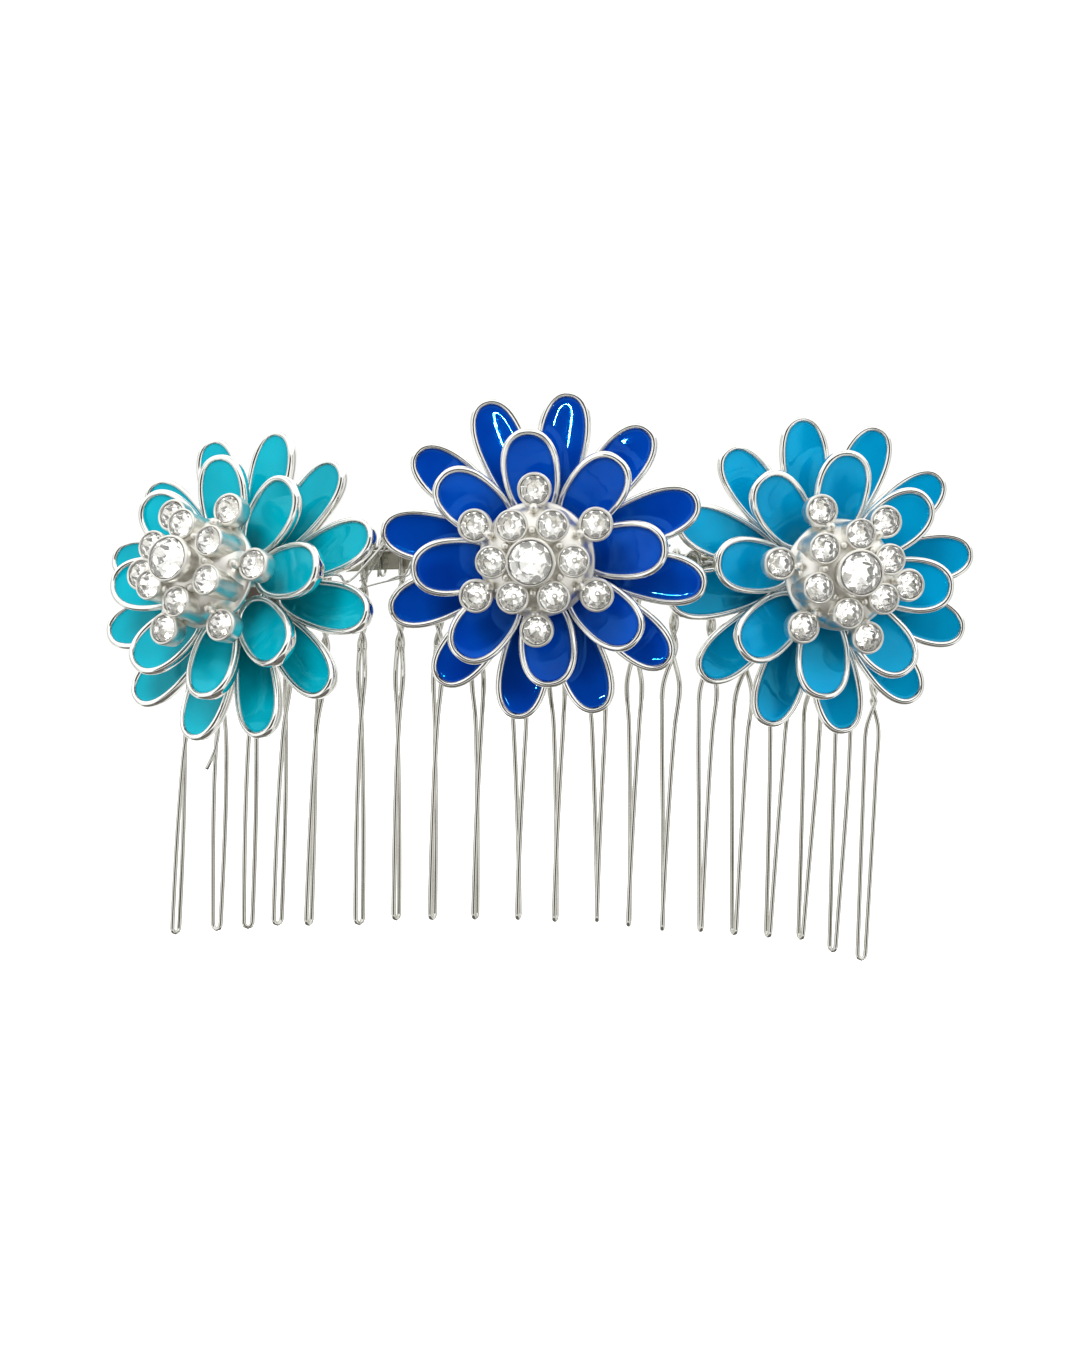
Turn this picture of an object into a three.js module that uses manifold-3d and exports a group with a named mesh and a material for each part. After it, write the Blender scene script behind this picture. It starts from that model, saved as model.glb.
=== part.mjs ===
// Decorative hair comb: a row of twisted wire teeth on a curved flat spine,
// with three enamelled flowers lashed to its front. Millimetres, +Z up.
// X runs along the comb, the flowers face -Y, the teeth point down.
// The origin is the middle of the spine.

import * as THREE from 'three';
import { mergeVertices } from 'three/addons/utils/BufferGeometryUtils.js';
import Module from 'manifold-3d';

const wasm = await Module();
wasm.setup();

// ---- driving dimensions (mm, degrees) ----

const TOUCH_GAP = 0.3;            // left between pieces that rest on each other

// Spine: a flat strip bent to the curve of the head, its ends hanging lower.
const TOOTH_COUNT = 20;
const TOOTH_PITCH = 4.35;
const SPINE_BEND_RADIUS = 83;
const SPINE_END_DROP = 4.5;
const SPINE_HEIGHT = 2.8;
const SPINE_THICKNESS = 0.8;
const SPINE_OVERHANG = 1.2;       // strip beyond the outer teeth
const SPINE_STEPS = 21;

// Teeth: one hairpin of round wire each, twisted below the spine.
const TOOTH_WIRE = 0.55;
const TOOTH_LENGTH = 40.3;        // middle of the spine to the tip
const TWIST_START = SPINE_HEIGHT / 2 + 1.2;   // depths below the middle of the spine
const TWIST_END = 10.1;
const SHOULDER_DEPTH = 13.4;
const TWIST_TURNS = 2.25;
const STRAND_SPACING = TOOTH_WIRE + 0.21;     // between the two strands of the twist
const LEG_SPACING = 1.85;         // between the legs at the shoulders
const TIP_SPACING = 0.95;         // between the legs where the tip bend starts
const TWIST_STEPS = 11;
const LEG_STEPS = 3;
const WIRE_SIDES = 4;

// Each tooth is bent by hand, so no two stand alike. Sideways shifts at half
// length and at the tip, extra length, and how far the pair of legs has turned
// at the shoulders and at the tip.
const MID_SHIFT = [-0.7, 0.2, 0, -0.3, -0.8, 0.2, 0.1, 0, 0.4, 0.6, 0.5, 0.6, 0.2, -0.3, -0.3, -0.5, -0.1, 0, 0, -0.2];
const TIP_SHIFT = [-1.1, 0.4, 0.2, -0.4, -0.9, 0.7, 0.6, 0.3, 0.7, 1.1, 0.8, 1.1, 0.3, -0.2, -0.1, -0.4, -0.5, -0.6, -0.5, -0.6];
const EXTRA_LENGTH = [-0.5, -0.2, 0.2, 0.3, 0.6, 0.5, 0, -0.1, -0.3, -0.4, -0.3, -0.4, 0, 0.3, 0.2, 0.2, 0, -0.4, 0.2, 0.1];
const TURN_AT_SHOULDER = [30, 60, 60, 45, 45, 50, 50, 50, 40, 0, 30, 10, 40, 25, 25, 10, 30, 10, 0, 0];
const TURN_AT_TIP = [105, 175, 150, 130, 105, 130, 115, 115, 110, 105, 110, 100, 110, 110, 90, 70, 75, 75, 55, 15];

// Flowers, stacked forward from the teeth along each flower's own axis: rivet
// head, outer petals, inner petals and setting. Radii are measured from that
// axis, base is a piece's back face, and the other heights start at its base.
const TEETH_FRONT = SPINE_THICKNESS / 2 + TOUCH_GAP + TOOTH_WIRE;
const HEAD_CLEARANCE = 0.65;      // teeth to rivet head, room for the flower's lean
const RIVET = { headRadius: 2.0, headThickness: 0.6, stemRadius: 1.0, base: TEETH_FRONT + HEAD_CLEARANCE };
const BORE_RADIUS = RIVET.stemRadius + TOUCH_GAP;
const OUTER = {
  base: RIVET.base + RIVET.headThickness + TOUCH_GAP,
  count: 12, tipRadius: 17.7, tipHeight: 3.2, rootRadius: 4.7, rootHeight: 1.8,
  width: 5.8, taper: 0.2,
  hubRadius: 6.2, hubThickness: 0.9, bossRadius: 3.8, bossHeight: 3.8,
};
const INNER = {
  base: OUTER.base + OUTER.bossHeight + TOUCH_GAP,
  count: 8, tipRadius: 13.4, tipHeight: 3.6, rootRadius: 3.9, rootHeight: 1.1,
  width: 6.2, taper: 0.1,
  hubRadius: 5.2, hubThickness: 0.6, bossRadius: 3.2, bossHeight: 3.3,
};
const PETAL_THICKNESS = 1.6;
const PETAL_RIM = 0.7;
const PETAL_FULLNESS = 0.9;       // 1 is a true oval, less is squarer
const ENAMEL_DEPTH = 0.7;
const PETAL_POINTS = 10;

// The setting's cups: heights start at the back of its disc.
const SETTING_BASE = INNER.base + INNER.bossHeight + TOUCH_GAP;
const SETTING_DISC = { radius: 5.7, thickness: 0.8 };
const CENTRE_CUP = { radius: 2.5, neck: 2.15, lip: 1.5, top: 7.5, wall: 0.24 };
const RING_CUP = { radius: 1.7, bottom: 0.2, top: 5.6, wall: 0.24 };
const OUTLYING_CUP = { radius: 1.8, bottom: 0.5, top: 2.6, wall: 0.32 };
const RING_COUNT = 6;
const RING_RADIUS = CENTRE_CUP.neck + RING_CUP.radius + 0.3;
const OUTLYING_RADIUS = RING_RADIUS + RING_CUP.radius + 1.35;
const ARM = { width: 1.2, bottom: 0.5, top: 1.5 };
const STONE_CLEARANCE = 0.08;
const STONE_DEPTH_SHARE = 0.5;    // pavilion depth over girdle radius
const STONE_CROWN_SHARE = 0.22;   // crown height over girdle radius
const STONE_TABLE_SHARE = 0.6;    // table radius over girdle radius
const ROUND_SIDES = 8;

// Lashing: fine craft wire round the strip, through the petals and back.
const LASHING_WIRE = 0.3;
const LASHING_TURNS = 2;
const LASHING_TURN_PITCH = 0.75;
const LASHING_CLEARANCE = 0.25;
const LASHING_TAIL = 2.2;
const LASHING_NOTCH_RADIUS = 13.2;
const LASHING_UNDER = OUTER.base + 0.5;          // where it comes up between petals
const LASHING_OVER = OUTER.base + 3.3;
const LASHING_LOOP_RADIUS = 4.4;                 // round the boss, between the two layers
const LASHING_LOOP_HEIGHT = OUTER.base + 2.6;

// along: arc length from the middle of the spine, the side flowers standing so
// that their petals reach between the middle flower's; rise: above its middle
// line. turn and tilt set the axis; the last three are the angles of the first
// outer petal, the first inner petal and the first ring stone.
const MIDDLE_ALONG = 0.8;
const LEFT_INTERLEAVE = 3.0;
const RIGHT_INTERLEAVE = 4.9;
const TWO_PETALS = 2 * OUTER.tipRadius;
const FLOWERS = [
  {
    name: 'left', enamel: 0x0aa5bb, along: MIDDLE_ALONG - TWO_PETALS + LEFT_INTERLEAVE,
    rise: -2.85, forward: 0.2,
    turn: -4.4, tilt: -9.1, outerAngle: 79.5, innerAngle: 94.8, ringAngle: 34.4,
  },
  {
    name: 'middle', enamel: 0x0048b4, along: MIDDLE_ALONG,
    rise: 0.4, forward: -0.1,
    turn: -7.4, tilt: 6.8, outerAngle: 81.6, innerAngle: 96.8, ringAngle: 62.1,
  },
  {
    name: 'right', enamel: 0x0095c6, along: MIDDLE_ALONG + TWO_PETALS - RIGHT_INTERLEAVE,
    rise: 1.3, forward: 0,
    turn: -13.9, tilt: 1.9, outerAngle: 100.9, innerAngle: 85.8, ringAngle: 83.3,
  },
];

// ---- materials ----

const silver = (colour, roughness) =>
  new THREE.MeshStandardMaterial({ color: colour, roughness, metalness: 1 });
const STRIP_METAL = () => silver(0xc9cac8, 0.3);
const TOOTH_METAL = () => silver(0xd2d3d1, 0.22);
const CAST_METAL = () => silver(0xdedfdd, 0.15);
const CRYSTAL = () =>
  new THREE.MeshStandardMaterial({ color: 0xeef0f2, roughness: 0.05, metalness: 0.1 });

// ---- helpers ----

const radians = THREE.MathUtils.degToRad;
const endToothAlong = TOOTH_PITCH * (TOOTH_COUNT - 1) / 2;

// A geometry with shared corners and no collapsed triangles.
function closed(geometry) {
  const bare = geometry.clone();
  bare.deleteAttribute('normal');
  bare.deleteAttribute('uv');
  const merged = mergeVertices(bare, 1e-4);
  const corners = merged.index.array;
  const kept = [];
  for (let i = 0; i < corners.length; i += 3) {
    const [a, b, c] = [corners[i], corners[i + 1], corners[i + 2]];
    if (a !== b && b !== c && c !== a) kept.push(a, b, c);
  }
  merged.setIndex(kept);
  return merged;
}

function solid(geometry) {
  const shape = closed(geometry);
  return new wasm.Manifold(new wasm.Mesh({
    numProp: 3,
    vertProperties: new Float32Array(shape.attributes.position.array),
    triVerts: new Uint32Array(shape.index.array),
  }));
}

function geometryOf(manifold) {
  const mesh = manifold.getMesh();
  const geometry = new THREE.BufferGeometry();
  geometry.setAttribute('position', new THREE.BufferAttribute(new Float32Array(mesh.vertProperties), 3));
  geometry.setIndex(Array.from(mesh.triVerts));
  geometry.computeVertexNormals();
  return geometry;
}

// A turned piece round +Z, its profile given as [radius, height] from below.
function turned(profile, sides = ROUND_SIDES) {
  const points = profile.map(([radius, height]) => new THREE.Vector2(radius, height));
  return new THREE.LatheGeometry(points, sides).rotateX(Math.PI / 2);
}

function cylinder(radius, bottom, top, sides = ROUND_SIDES) {
  return turned([[0, bottom], [radius, bottom], [radius, top], [0, top]], sides);
}

// A path with one step between each pair of knots.
class WirePath extends THREE.Curve {
  constructor(knots) {
    super();
    this.knots = knots;
  }

  getPoint(t, target = new THREE.Vector3()) {
    const place = t * (this.knots.length - 1);
    const low = Math.min(Math.floor(place), this.knots.length - 2);
    return target.lerpVectors(this.knots[low], this.knots[low + 1], place - low);
  }

  getPointAt(u, target) {
    return this.getPoint(u, target);
  }

  getTangentAt(u, target = new THREE.Vector3()) {
    const knot = Math.round(u * (this.knots.length - 1));
    const here = this.knots[knot];
    const before = this.knots[Math.max(knot - 1, 0)];
    const after = this.knots[Math.min(knot + 1, this.knots.length - 1)];
    const arriving = here.clone().sub(before).normalize();
    const leaving = after.clone().sub(here).normalize();
    return target.copy(arriving).add(leaving).normalize();
  }
}

// The strip's path, which keeps the section upright and square to the curve.
class StripPath extends WirePath {
  computeFrenetFrames(steps) {
    const up = new THREE.Vector3(0, 0, 1);
    const frames = { tangents: [], normals: [], binormals: [] };
    for (let i = 0; i <= steps; i++) {
      const tangent = this.getTangentAt(i / steps);
      const normal = up.clone().cross(tangent).normalize();
      frames.tangents.push(tangent);
      frames.normals.push(normal);
      frames.binormals.push(tangent.clone().cross(normal));
    }
    return frames;
  }
}

function sweep(section, path) {
  const steps = path.knots.length - 1;
  return new THREE.ExtrudeGeometry(section, { steps, extrudePath: path, bevelEnabled: false });
}

function wire(diameter, knots) {
  const corners = [];
  for (let i = 0; i < WIRE_SIDES; i++) {
    const angle = 2 * Math.PI * (i + 0.5) / WIRE_SIDES;
    corners.push(new THREE.Vector2(Math.cos(angle), Math.sin(angle)).multiplyScalar(diameter / 2));
  }
  return sweep(new THREE.Shape(corners), new WirePath(knots));
}

// ---- the spine's line ----

function spinePoint(along) {
  const angle = along / SPINE_BEND_RADIUS;
  const drop = SPINE_END_DROP * Math.abs(along / endToothAlong) ** 3;
  return new THREE.Vector3(
    SPINE_BEND_RADIUS * Math.sin(angle),
    SPINE_BEND_RADIUS * (1 - Math.cos(angle)),
    -drop,
  );
}

// A point given beside the spine: sideways along it, forward of it and up.
function besideSpine(along, sideways, forward, up) {
  const angle = along / SPINE_BEND_RADIUS;
  const point = spinePoint(along);
  point.x += sideways * Math.cos(angle) + forward * Math.sin(angle);
  point.y += sideways * Math.sin(angle) - forward * Math.cos(angle);
  point.z += up;
  return point;
}

function spineGeometry() {
  const halfLength = endToothAlong + SPINE_OVERHANG;
  const knots = [];
  for (let i = 0; i <= SPINE_STEPS; i++) {
    knots.push(spinePoint(halfLength * (2 * i / SPINE_STEPS - 1)));
  }
  const x = SPINE_THICKNESS / 2;
  const y = SPINE_HEIGHT / 2;
  const section = new THREE.Shape();
  section.moveTo(-x, -y);
  section.lineTo(x, -y);
  section.lineTo(x, y);
  section.lineTo(-x, y);
  section.closePath();
  return sweep(section, new StripPath(knots));
}

// ---- teeth ----

const wrapForward = SPINE_THICKNESS / 2 + TOUCH_GAP + TOOTH_WIRE / 2;
const wrapUp = SPINE_HEIGHT / 2 + TOUCH_GAP + TOOTH_WIRE / 2;

// One leg's knots from the top of the twist to the start of the tip bend.
// side is 1 for the leg that comes from the front of the spine, -1 for the other.
function legKnots(index, side) {
  const along = (index - (TOOTH_COUNT - 1) / 2) * TOOTH_PITCH;
  const shoulderTurn = radians(TURN_AT_SHOULDER[index]);
  const tipTurn = radians(TURN_AT_TIP[index]);
  const twist = -2 * Math.PI * TWIST_TURNS;
  const tipDepth = TOOTH_LENGTH + EXTRA_LENGTH[index] - TIP_SPACING / 2 - TOOTH_WIRE / 2;
  const midDepth = TOOTH_LENGTH / 2;
  const knots = [];
  const add = (depth, spacing, angle) => {
    const towardsMid = THREE.MathUtils.smoothstep(depth, TWIST_END, midDepth);
    const towardsTip = THREE.MathUtils.clamp((depth - midDepth) / (TOOTH_LENGTH - midDepth), 0, 1);
    const shift = THREE.MathUtils.lerp(MID_SHIFT[index] * towardsMid, TIP_SHIFT[index], towardsTip);
    const sideways = shift + side * spacing / 2 * Math.cos(angle);
    const forward = side * spacing / 2 * Math.sin(angle);
    knots.push(besideSpine(along, sideways, forward, -depth));
  };
  for (let i = 0; i <= TWIST_STEPS; i++) {
    const share = i / TWIST_STEPS;
    const angle = Math.PI / 2 + (twist - Math.PI / 2 + shoulderTurn + 2 * Math.PI) * share;
    add(THREE.MathUtils.lerp(TWIST_START, TWIST_END, share), STRAND_SPACING, angle);
  }
  for (let i = 0; i <= LEG_STEPS; i++) {
    const share = i / LEG_STEPS;
    const angle = THREE.MathUtils.lerp(shoulderTurn, tipTurn, share);
    const spacing = THREE.MathUtils.lerp(LEG_SPACING, TIP_SPACING, share);
    add(THREE.MathUtils.lerp(SHOULDER_DEPTH, tipDepth, share), spacing, angle);
  }
  return knots;
}

function toothGeometry(index) {
  const along = (index - (TOOTH_COUNT - 1) / 2) * TOOTH_PITCH;
  const wrap = (forward, up) => besideSpine(along, 0, forward, up);
  const halfGap = TOUCH_GAP / 2;
  const overTheTop = [
    wrap(-wrapForward, halfGap),
    wrap(-wrapForward, wrapUp - TOOTH_WIRE),
    wrap(-wrapForward / 2, wrapUp),
    wrap(wrapForward / 2, wrapUp),
    wrap(wrapForward, wrapUp - TOOTH_WIRE),
    wrap(wrapForward, -SPINE_HEIGHT / 2),
  ];
  const upTheBack = [
    wrap(-wrapForward, -SPINE_HEIGHT / 2),
    wrap(-wrapForward, -halfGap),
  ];
  const down = legKnots(index, 1);
  const up = legKnots(index, -1).reverse();
  const first = down[down.length - 1];
  const last = up[0];
  const middle = first.clone().add(last).multiplyScalar(0.5);
  const tip = [-0.5, 0.5].map((side) => {
    const point = middle.clone().lerp(side < 0 ? first : last, Math.abs(side));
    point.z -= TIP_SPACING / 2;
    return point;
  });
  return wire(TOOTH_WIRE, [...overTheTop, ...down, ...tip, ...up, ...upTheBack]);
}

// ---- flowers (each in its own frame: X right, Y up, Z forward) ----

// A long oval, narrower at the root, with its long axis along +X.
function petalOutline(length, width, taper, inset) {
  const points = [];
  for (let i = 0; i < PETAL_POINTS; i++) {
    const angle = 2 * Math.PI * i / PETAL_POINTS;
    const [along, across] = [Math.cos(angle), Math.sin(angle)].map(
      (share) => Math.sign(share) * Math.abs(share) ** PETAL_FULLNESS);
    const x = length / 2 + (length / 2 - inset) * along;
    const y = (width / 2 - inset) * across * (1 + taper * along) / (1 + taper * taper);
    points.push(new THREE.Vector2(x, y));
  }
  return new THREE.Shape(points);
}

function petalPiece(layer, angle, inset, bottom, top) {
  const run = layer.tipRadius - layer.rootRadius;
  const climb = layer.tipHeight - layer.rootHeight;
  const outline = petalOutline(Math.hypot(run, climb), layer.width, layer.taper, inset);
  return new THREE.ExtrudeGeometry(outline, { depth: top - bottom, bevelEnabled: false, steps: 1 })
    .translate(0, 0, bottom)
    .rotateY(-Math.atan2(climb, run))
    .translate(layer.rootRadius, 0, layer.base + layer.rootHeight)
    .rotateZ(angle);
}

// One casting: a hub with a boss and a bore, and a ring of petal trays.
function petalLayer(layer, firstAngle) {
  const hubTop = layer.base + layer.hubThickness;
  const bossTop = layer.base + layer.bossHeight;
  let body = solid(turned([
    [BORE_RADIUS, layer.base],
    [layer.hubRadius, layer.base],
    [layer.hubRadius, hubTop],
    [layer.bossRadius, hubTop + 0.4],
    [layer.bossRadius * 0.85, bossTop],
    [BORE_RADIUS, bossTop],
    [BORE_RADIUS, layer.base],
  ], 2 * ROUND_SIDES));
  const angles = [];
  for (let i = 0; i < layer.count; i++) {
    angles.push(radians(firstAngle) - 2 * Math.PI * i / layer.count);
  }
  for (const angle of angles) {
    body = body.add(solid(petalPiece(layer, angle, 0, -PETAL_THICKNESS, 0)));
  }
  for (const angle of angles) {
    body = body.subtract(solid(petalPiece(layer, angle, PETAL_RIM, -ENAMEL_DEPTH, 0.2)));
  }
  return geometryOf(body);
}

const stoneRadius = (cup) => cup.radius - cup.wall - STONE_CLEARANCE;
const seatDepth = (cup) => stoneRadius(cup) * STONE_DEPTH_SHARE + STONE_CLEARANCE * 2;

function stoneGeometry(cup) {
  const girdle = stoneRadius(cup);
  const middle = SETTING_BASE + cup.top;
  return turned([
    [0, middle - girdle * STONE_DEPTH_SHARE],
    [girdle, middle],
    [girdle * STONE_TABLE_SHARE, middle + girdle * STONE_CROWN_SHARE],
    [0, middle + girdle * STONE_CROWN_SHARE],
  ]);
}

function around(radius, angle) {
  return [radius * Math.cos(angle), radius * Math.sin(angle)];
}

// The rhinestone setting: a disc, a raised centre cup, a ring of cups, and
// outlying cups on short arms between them.
function settingGeometry(ringAngle) {
  let body = solid(cylinder(SETTING_DISC.radius, 0, SETTING_DISC.thickness, 2 * ROUND_SIDES));
  const seats = [];
  body = body.add(solid(turned([
    [0, RING_CUP.bottom],
    [CENTRE_CUP.neck, RING_CUP.bottom],
    [CENTRE_CUP.neck, CENTRE_CUP.top - CENTRE_CUP.lip - 0.4],
    [CENTRE_CUP.radius, CENTRE_CUP.top - CENTRE_CUP.lip],
    [CENTRE_CUP.radius, CENTRE_CUP.top],
    [0, CENTRE_CUP.top],
  ])));
  seats.push({ cup: CENTRE_CUP, x: 0, y: 0 });
  const addCup = (cup, [x, y]) => {
    body = body.add(solid(cylinder(cup.radius, cup.bottom, cup.top).translate(x, y, 0)));
    seats.push({ cup, x, y });
  };
  for (let i = 0; i < RING_COUNT; i++) {
    const ring = radians(ringAngle) - 2 * Math.PI * i / RING_COUNT;
    const between = ring - Math.PI / RING_COUNT;
    addCup(RING_CUP, around(RING_RADIUS, ring));
    addCup(OUTLYING_CUP, around(OUTLYING_RADIUS, between));
    const arm = new THREE.BoxGeometry(OUTLYING_RADIUS - RING_RADIUS, ARM.width, ARM.top - ARM.bottom)
      .translate((OUTLYING_RADIUS + RING_RADIUS) / 2, 0, (ARM.top + ARM.bottom) / 2)
      .rotateZ(between);
    body = body.add(solid(arm));
  }
  for (const { cup, x, y } of seats) {
    const floor = cup.top - seatDepth(cup);
    const seat = cylinder(cup.radius - cup.wall, floor, cup.top + 0.2).translate(x, y, 0);
    body = body.subtract(solid(seat));
  }
  return geometryOf(body).translate(0, 0, SETTING_BASE);
}

function rivetGeometry() {
  return turned([
    [0, RIVET.base],
    [RIVET.headRadius, RIVET.base],
    [RIVET.headRadius, RIVET.base + RIVET.headThickness],
    [RIVET.stemRadius, RIVET.base + RIVET.headThickness],
    [RIVET.stemRadius, SETTING_BASE - TOUCH_GAP],
    [0, SETTING_BASE - TOUCH_GAP],
  ]);
}

// The group that carries one flower. Its frame's +Z leans by turn and tilt
// from the spine's forward direction.
function flowerGroup(flower) {
  const group = new THREE.Group();
  group.position.copy(besideSpine(flower.along, 0, 0, flower.rise));
  const turn = flower.along / SPINE_BEND_RADIUS + radians(flower.turn);
  group.rotation.set(radians(flower.tilt) + Math.PI / 2, 0, turn, 'ZYX');
  group.updateMatrixWorld(true);
  return group;
}

// ---- lashing wires (in the comb's own frame) ----

// Turns round the strip in the gap between two teeth, starting at the back.
function lashingTurns(gapAlong, side) {
  const forward = SPINE_THICKNESS / 2 + LASHING_CLEARANCE + LASHING_WIRE / 2;
  const up = SPINE_HEIGHT / 2 + LASHING_CLEARANCE + LASHING_WIRE / 2;
  const knots = [besideSpine(gapAlong, -side * LASHING_TURN_PITCH, -forward, -up - LASHING_TAIL)];
  for (let turn = 0; turn < LASHING_TURNS; turn++) {
    const corners = [[-forward, -up], [-forward, up], [forward, up], [forward, -up]];
    corners.forEach(([reach, rise], corner) => {
      const advance = turn + corner / corners.length - LASHING_TURNS / 2;
      knots.push(besideSpine(gapAlong, side * LASHING_TURN_PITCH * advance, reach, rise));
    });
  }
  knots.pop();
  return knots;
}

// The gap between two teeth that is nearest to a place along the spine.
function nearestGap(along) {
  const lastGap = (TOOTH_COUNT - 2) / 2;
  const gap = THREE.MathUtils.clamp(Math.round(along / TOOTH_PITCH), -lastGap, lastGap);
  return gap * TOOTH_PITCH;
}

function lashingGeometry(flower, group) {
  const notchStep = 2 * Math.PI / OUTER.count;
  const firstNotch = radians(flower.outerAngle) - notchStep / 2;
  const notchNearest = (angle) => firstNotch + notchStep * Math.round((angle - firstNotch) / notchStep);
  const placed = (radius, angle, height) => {
    const [x, y] = around(radius, angle);
    return group.localToWorld(new THREE.Vector3(x, y, height));
  };
  const throughNotch = (angle) => [
    placed(LASHING_NOTCH_RADIUS, angle, LASHING_UNDER),
    placed(LASHING_NOTCH_RADIUS, angle, LASHING_OVER),
    placed((LASHING_NOTCH_RADIUS + LASHING_LOOP_RADIUS) / 2, angle, LASHING_OVER - 0.4),
  ];
  const leftAngle = notchNearest(Math.PI);
  const rightAngle = notchNearest(0);
  const loop = [];
  const loopSteps = 6;
  for (let i = 0; i <= loopSteps; i++) {
    const angle = THREE.MathUtils.lerp(leftAngle, rightAngle + 2 * Math.PI, i / loopSteps);
    loop.push(placed(LASHING_LOOP_RADIUS, angle, LASHING_LOOP_HEIGHT));
  }
  const leftTurns = lashingTurns(nearestGap(flower.along - LASHING_NOTCH_RADIUS), -1);
  const rightTurns = lashingTurns(nearestGap(flower.along + LASHING_NOTCH_RADIUS), 1);
  return wire(LASHING_WIRE, [
    ...leftTurns,
    ...throughNotch(leftAngle),
    ...loop,
    ...throughNotch(rightAngle).reverse(),
    ...rightTurns.reverse(),
  ]);
}

// ---- assembly ----

function named(name, geometry, material) {
  const mesh = new THREE.Mesh(geometry, material);
  mesh.name = name;
  return mesh;
}

const comb = new THREE.Group();
comb.add(named('spine', spineGeometry(), STRIP_METAL()));

for (let i = 0; i < TOOTH_COUNT; i++) {
  const number = String(i + 1).padStart(2, '0');
  comb.add(named(`tooth_${number}`, toothGeometry(i), TOOTH_METAL()));
}

for (const flower of FLOWERS) {
  const group = flowerGroup(flower);
  comb.add(named(`${flower.name}_lashing_wire`, lashingGeometry(flower, group), TOOTH_METAL()));
  group.translateZ(flower.forward);
  const enamelled = () =>
    new THREE.MeshStandardMaterial({ color: flower.enamel, roughness: 0.1, metalness: 0.3 });
  group.add(named(`${flower.name}_outer_petals`, petalLayer(OUTER, flower.outerAngle), enamelled()));
  group.add(named(`${flower.name}_inner_petals`, petalLayer(INNER, flower.innerAngle), enamelled()));
  group.add(named(`${flower.name}_rivet`, rivetGeometry(), CAST_METAL()));
  group.add(named(`${flower.name}_setting`, settingGeometry(flower.ringAngle), CAST_METAL()));
  group.add(named(`${flower.name}_centre_stone`, stoneGeometry(CENTRE_CUP), CRYSTAL()));
  for (let i = 0; i < RING_COUNT; i++) {
    const angle = radians(flower.ringAngle) - 2 * Math.PI * i / RING_COUNT;
    const [x, y] = around(RING_RADIUS, angle);
    const stone = named(`${flower.name}_ring_stone_${i + 1}`, stoneGeometry(RING_CUP), CRYSTAL());
    stone.position.set(x, y, 0);
    group.add(stone);
  }
  comb.add(group);
}

export default comb;
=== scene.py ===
# Decorative hair comb: twisted wire teeth on a curved strip, with three enamelled
# flowers lashed along its front. Lengths are written in millimetres and each
# finished mesh is scaled to metres as it is placed.
import bmesh
import bpy
import math
from mathutils import Matrix, Vector


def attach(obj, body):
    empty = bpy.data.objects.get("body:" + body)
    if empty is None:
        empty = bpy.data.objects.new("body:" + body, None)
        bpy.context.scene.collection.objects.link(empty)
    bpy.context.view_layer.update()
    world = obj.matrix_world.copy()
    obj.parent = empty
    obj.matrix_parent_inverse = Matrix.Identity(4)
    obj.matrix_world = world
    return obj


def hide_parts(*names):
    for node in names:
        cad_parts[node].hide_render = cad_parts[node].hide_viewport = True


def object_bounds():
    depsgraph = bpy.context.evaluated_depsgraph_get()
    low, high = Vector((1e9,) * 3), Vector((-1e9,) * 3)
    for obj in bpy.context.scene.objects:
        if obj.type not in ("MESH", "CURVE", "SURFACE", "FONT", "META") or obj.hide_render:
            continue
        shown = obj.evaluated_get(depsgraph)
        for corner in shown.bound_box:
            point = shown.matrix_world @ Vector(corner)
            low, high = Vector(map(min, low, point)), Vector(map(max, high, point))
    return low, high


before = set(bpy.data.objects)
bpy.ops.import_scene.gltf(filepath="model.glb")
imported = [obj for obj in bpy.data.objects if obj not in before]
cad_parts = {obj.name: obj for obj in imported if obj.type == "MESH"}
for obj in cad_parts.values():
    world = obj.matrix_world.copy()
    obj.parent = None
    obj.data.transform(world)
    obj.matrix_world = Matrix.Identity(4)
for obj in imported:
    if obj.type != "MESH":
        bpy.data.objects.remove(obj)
cad_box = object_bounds()
MM = 0.001

# ---------------------------------------------------------------- camera and light
# The comb is seen level and almost square on, from about a hand's length away,
# leaning a little in the picture. Distances are from the middle of the spine.
VIEW_DISTANCE = 181.1
VIEW_TURN = math.radians(1.27)
VIEW_LEAN = math.radians(1.87)
VIEW_BELOW_CENTRE = 12.83      # the spine stands this far above the picture's middle
FRAME_HEIGHT = 148.5           # height of the picture at the spine
SENSOR = 36.0

turn_and_lean = Matrix.Rotation(VIEW_LEAN, 3, "Y") @ Matrix.Rotation(VIEW_TURN, 3, "Z")
to_comb = turn_and_lean.transposed()
camera_data = bpy.data.cameras.new("camera")
camera_data.sensor_width = SENSOR
camera_data.lens = SENSOR * VIEW_DISTANCE / FRAME_HEIGHT
camera_data.clip_start = 0.005
camera_data.clip_end = 20
camera = bpy.data.objects.new("camera", camera_data)
bpy.context.collection.objects.link(camera)
eye = to_comb @ Vector((0, -VIEW_DISTANCE, -VIEW_BELOW_CENTRE))
picture_axes = Matrix((
    to_comb @ Vector((1, 0, 0)),
    to_comb @ Vector((0, 0, 1)),
    to_comb @ Vector((0, -1, 0)),
)).transposed()
camera.matrix_world = Matrix.Translation(eye * MM) @ picture_axes.to_4x4()
bpy.context.scene.camera = camera
bpy.context.scene.view_settings.view_transform = "Standard"


def node(tree, kind, settings=None, links=None, inputs=None):
    """Adds one shader node with its settings, its fixed inputs and its links."""
    made = tree.nodes.new(kind)
    for name, value in (settings or {}).items():
        setattr(made, name, value)
    for name, value in (inputs or {}).items():
        made.inputs[name].default_value = value
    for name, source in (links or {}).items():
        tree.links.new(source, made.inputs[name])
    return made


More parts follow.
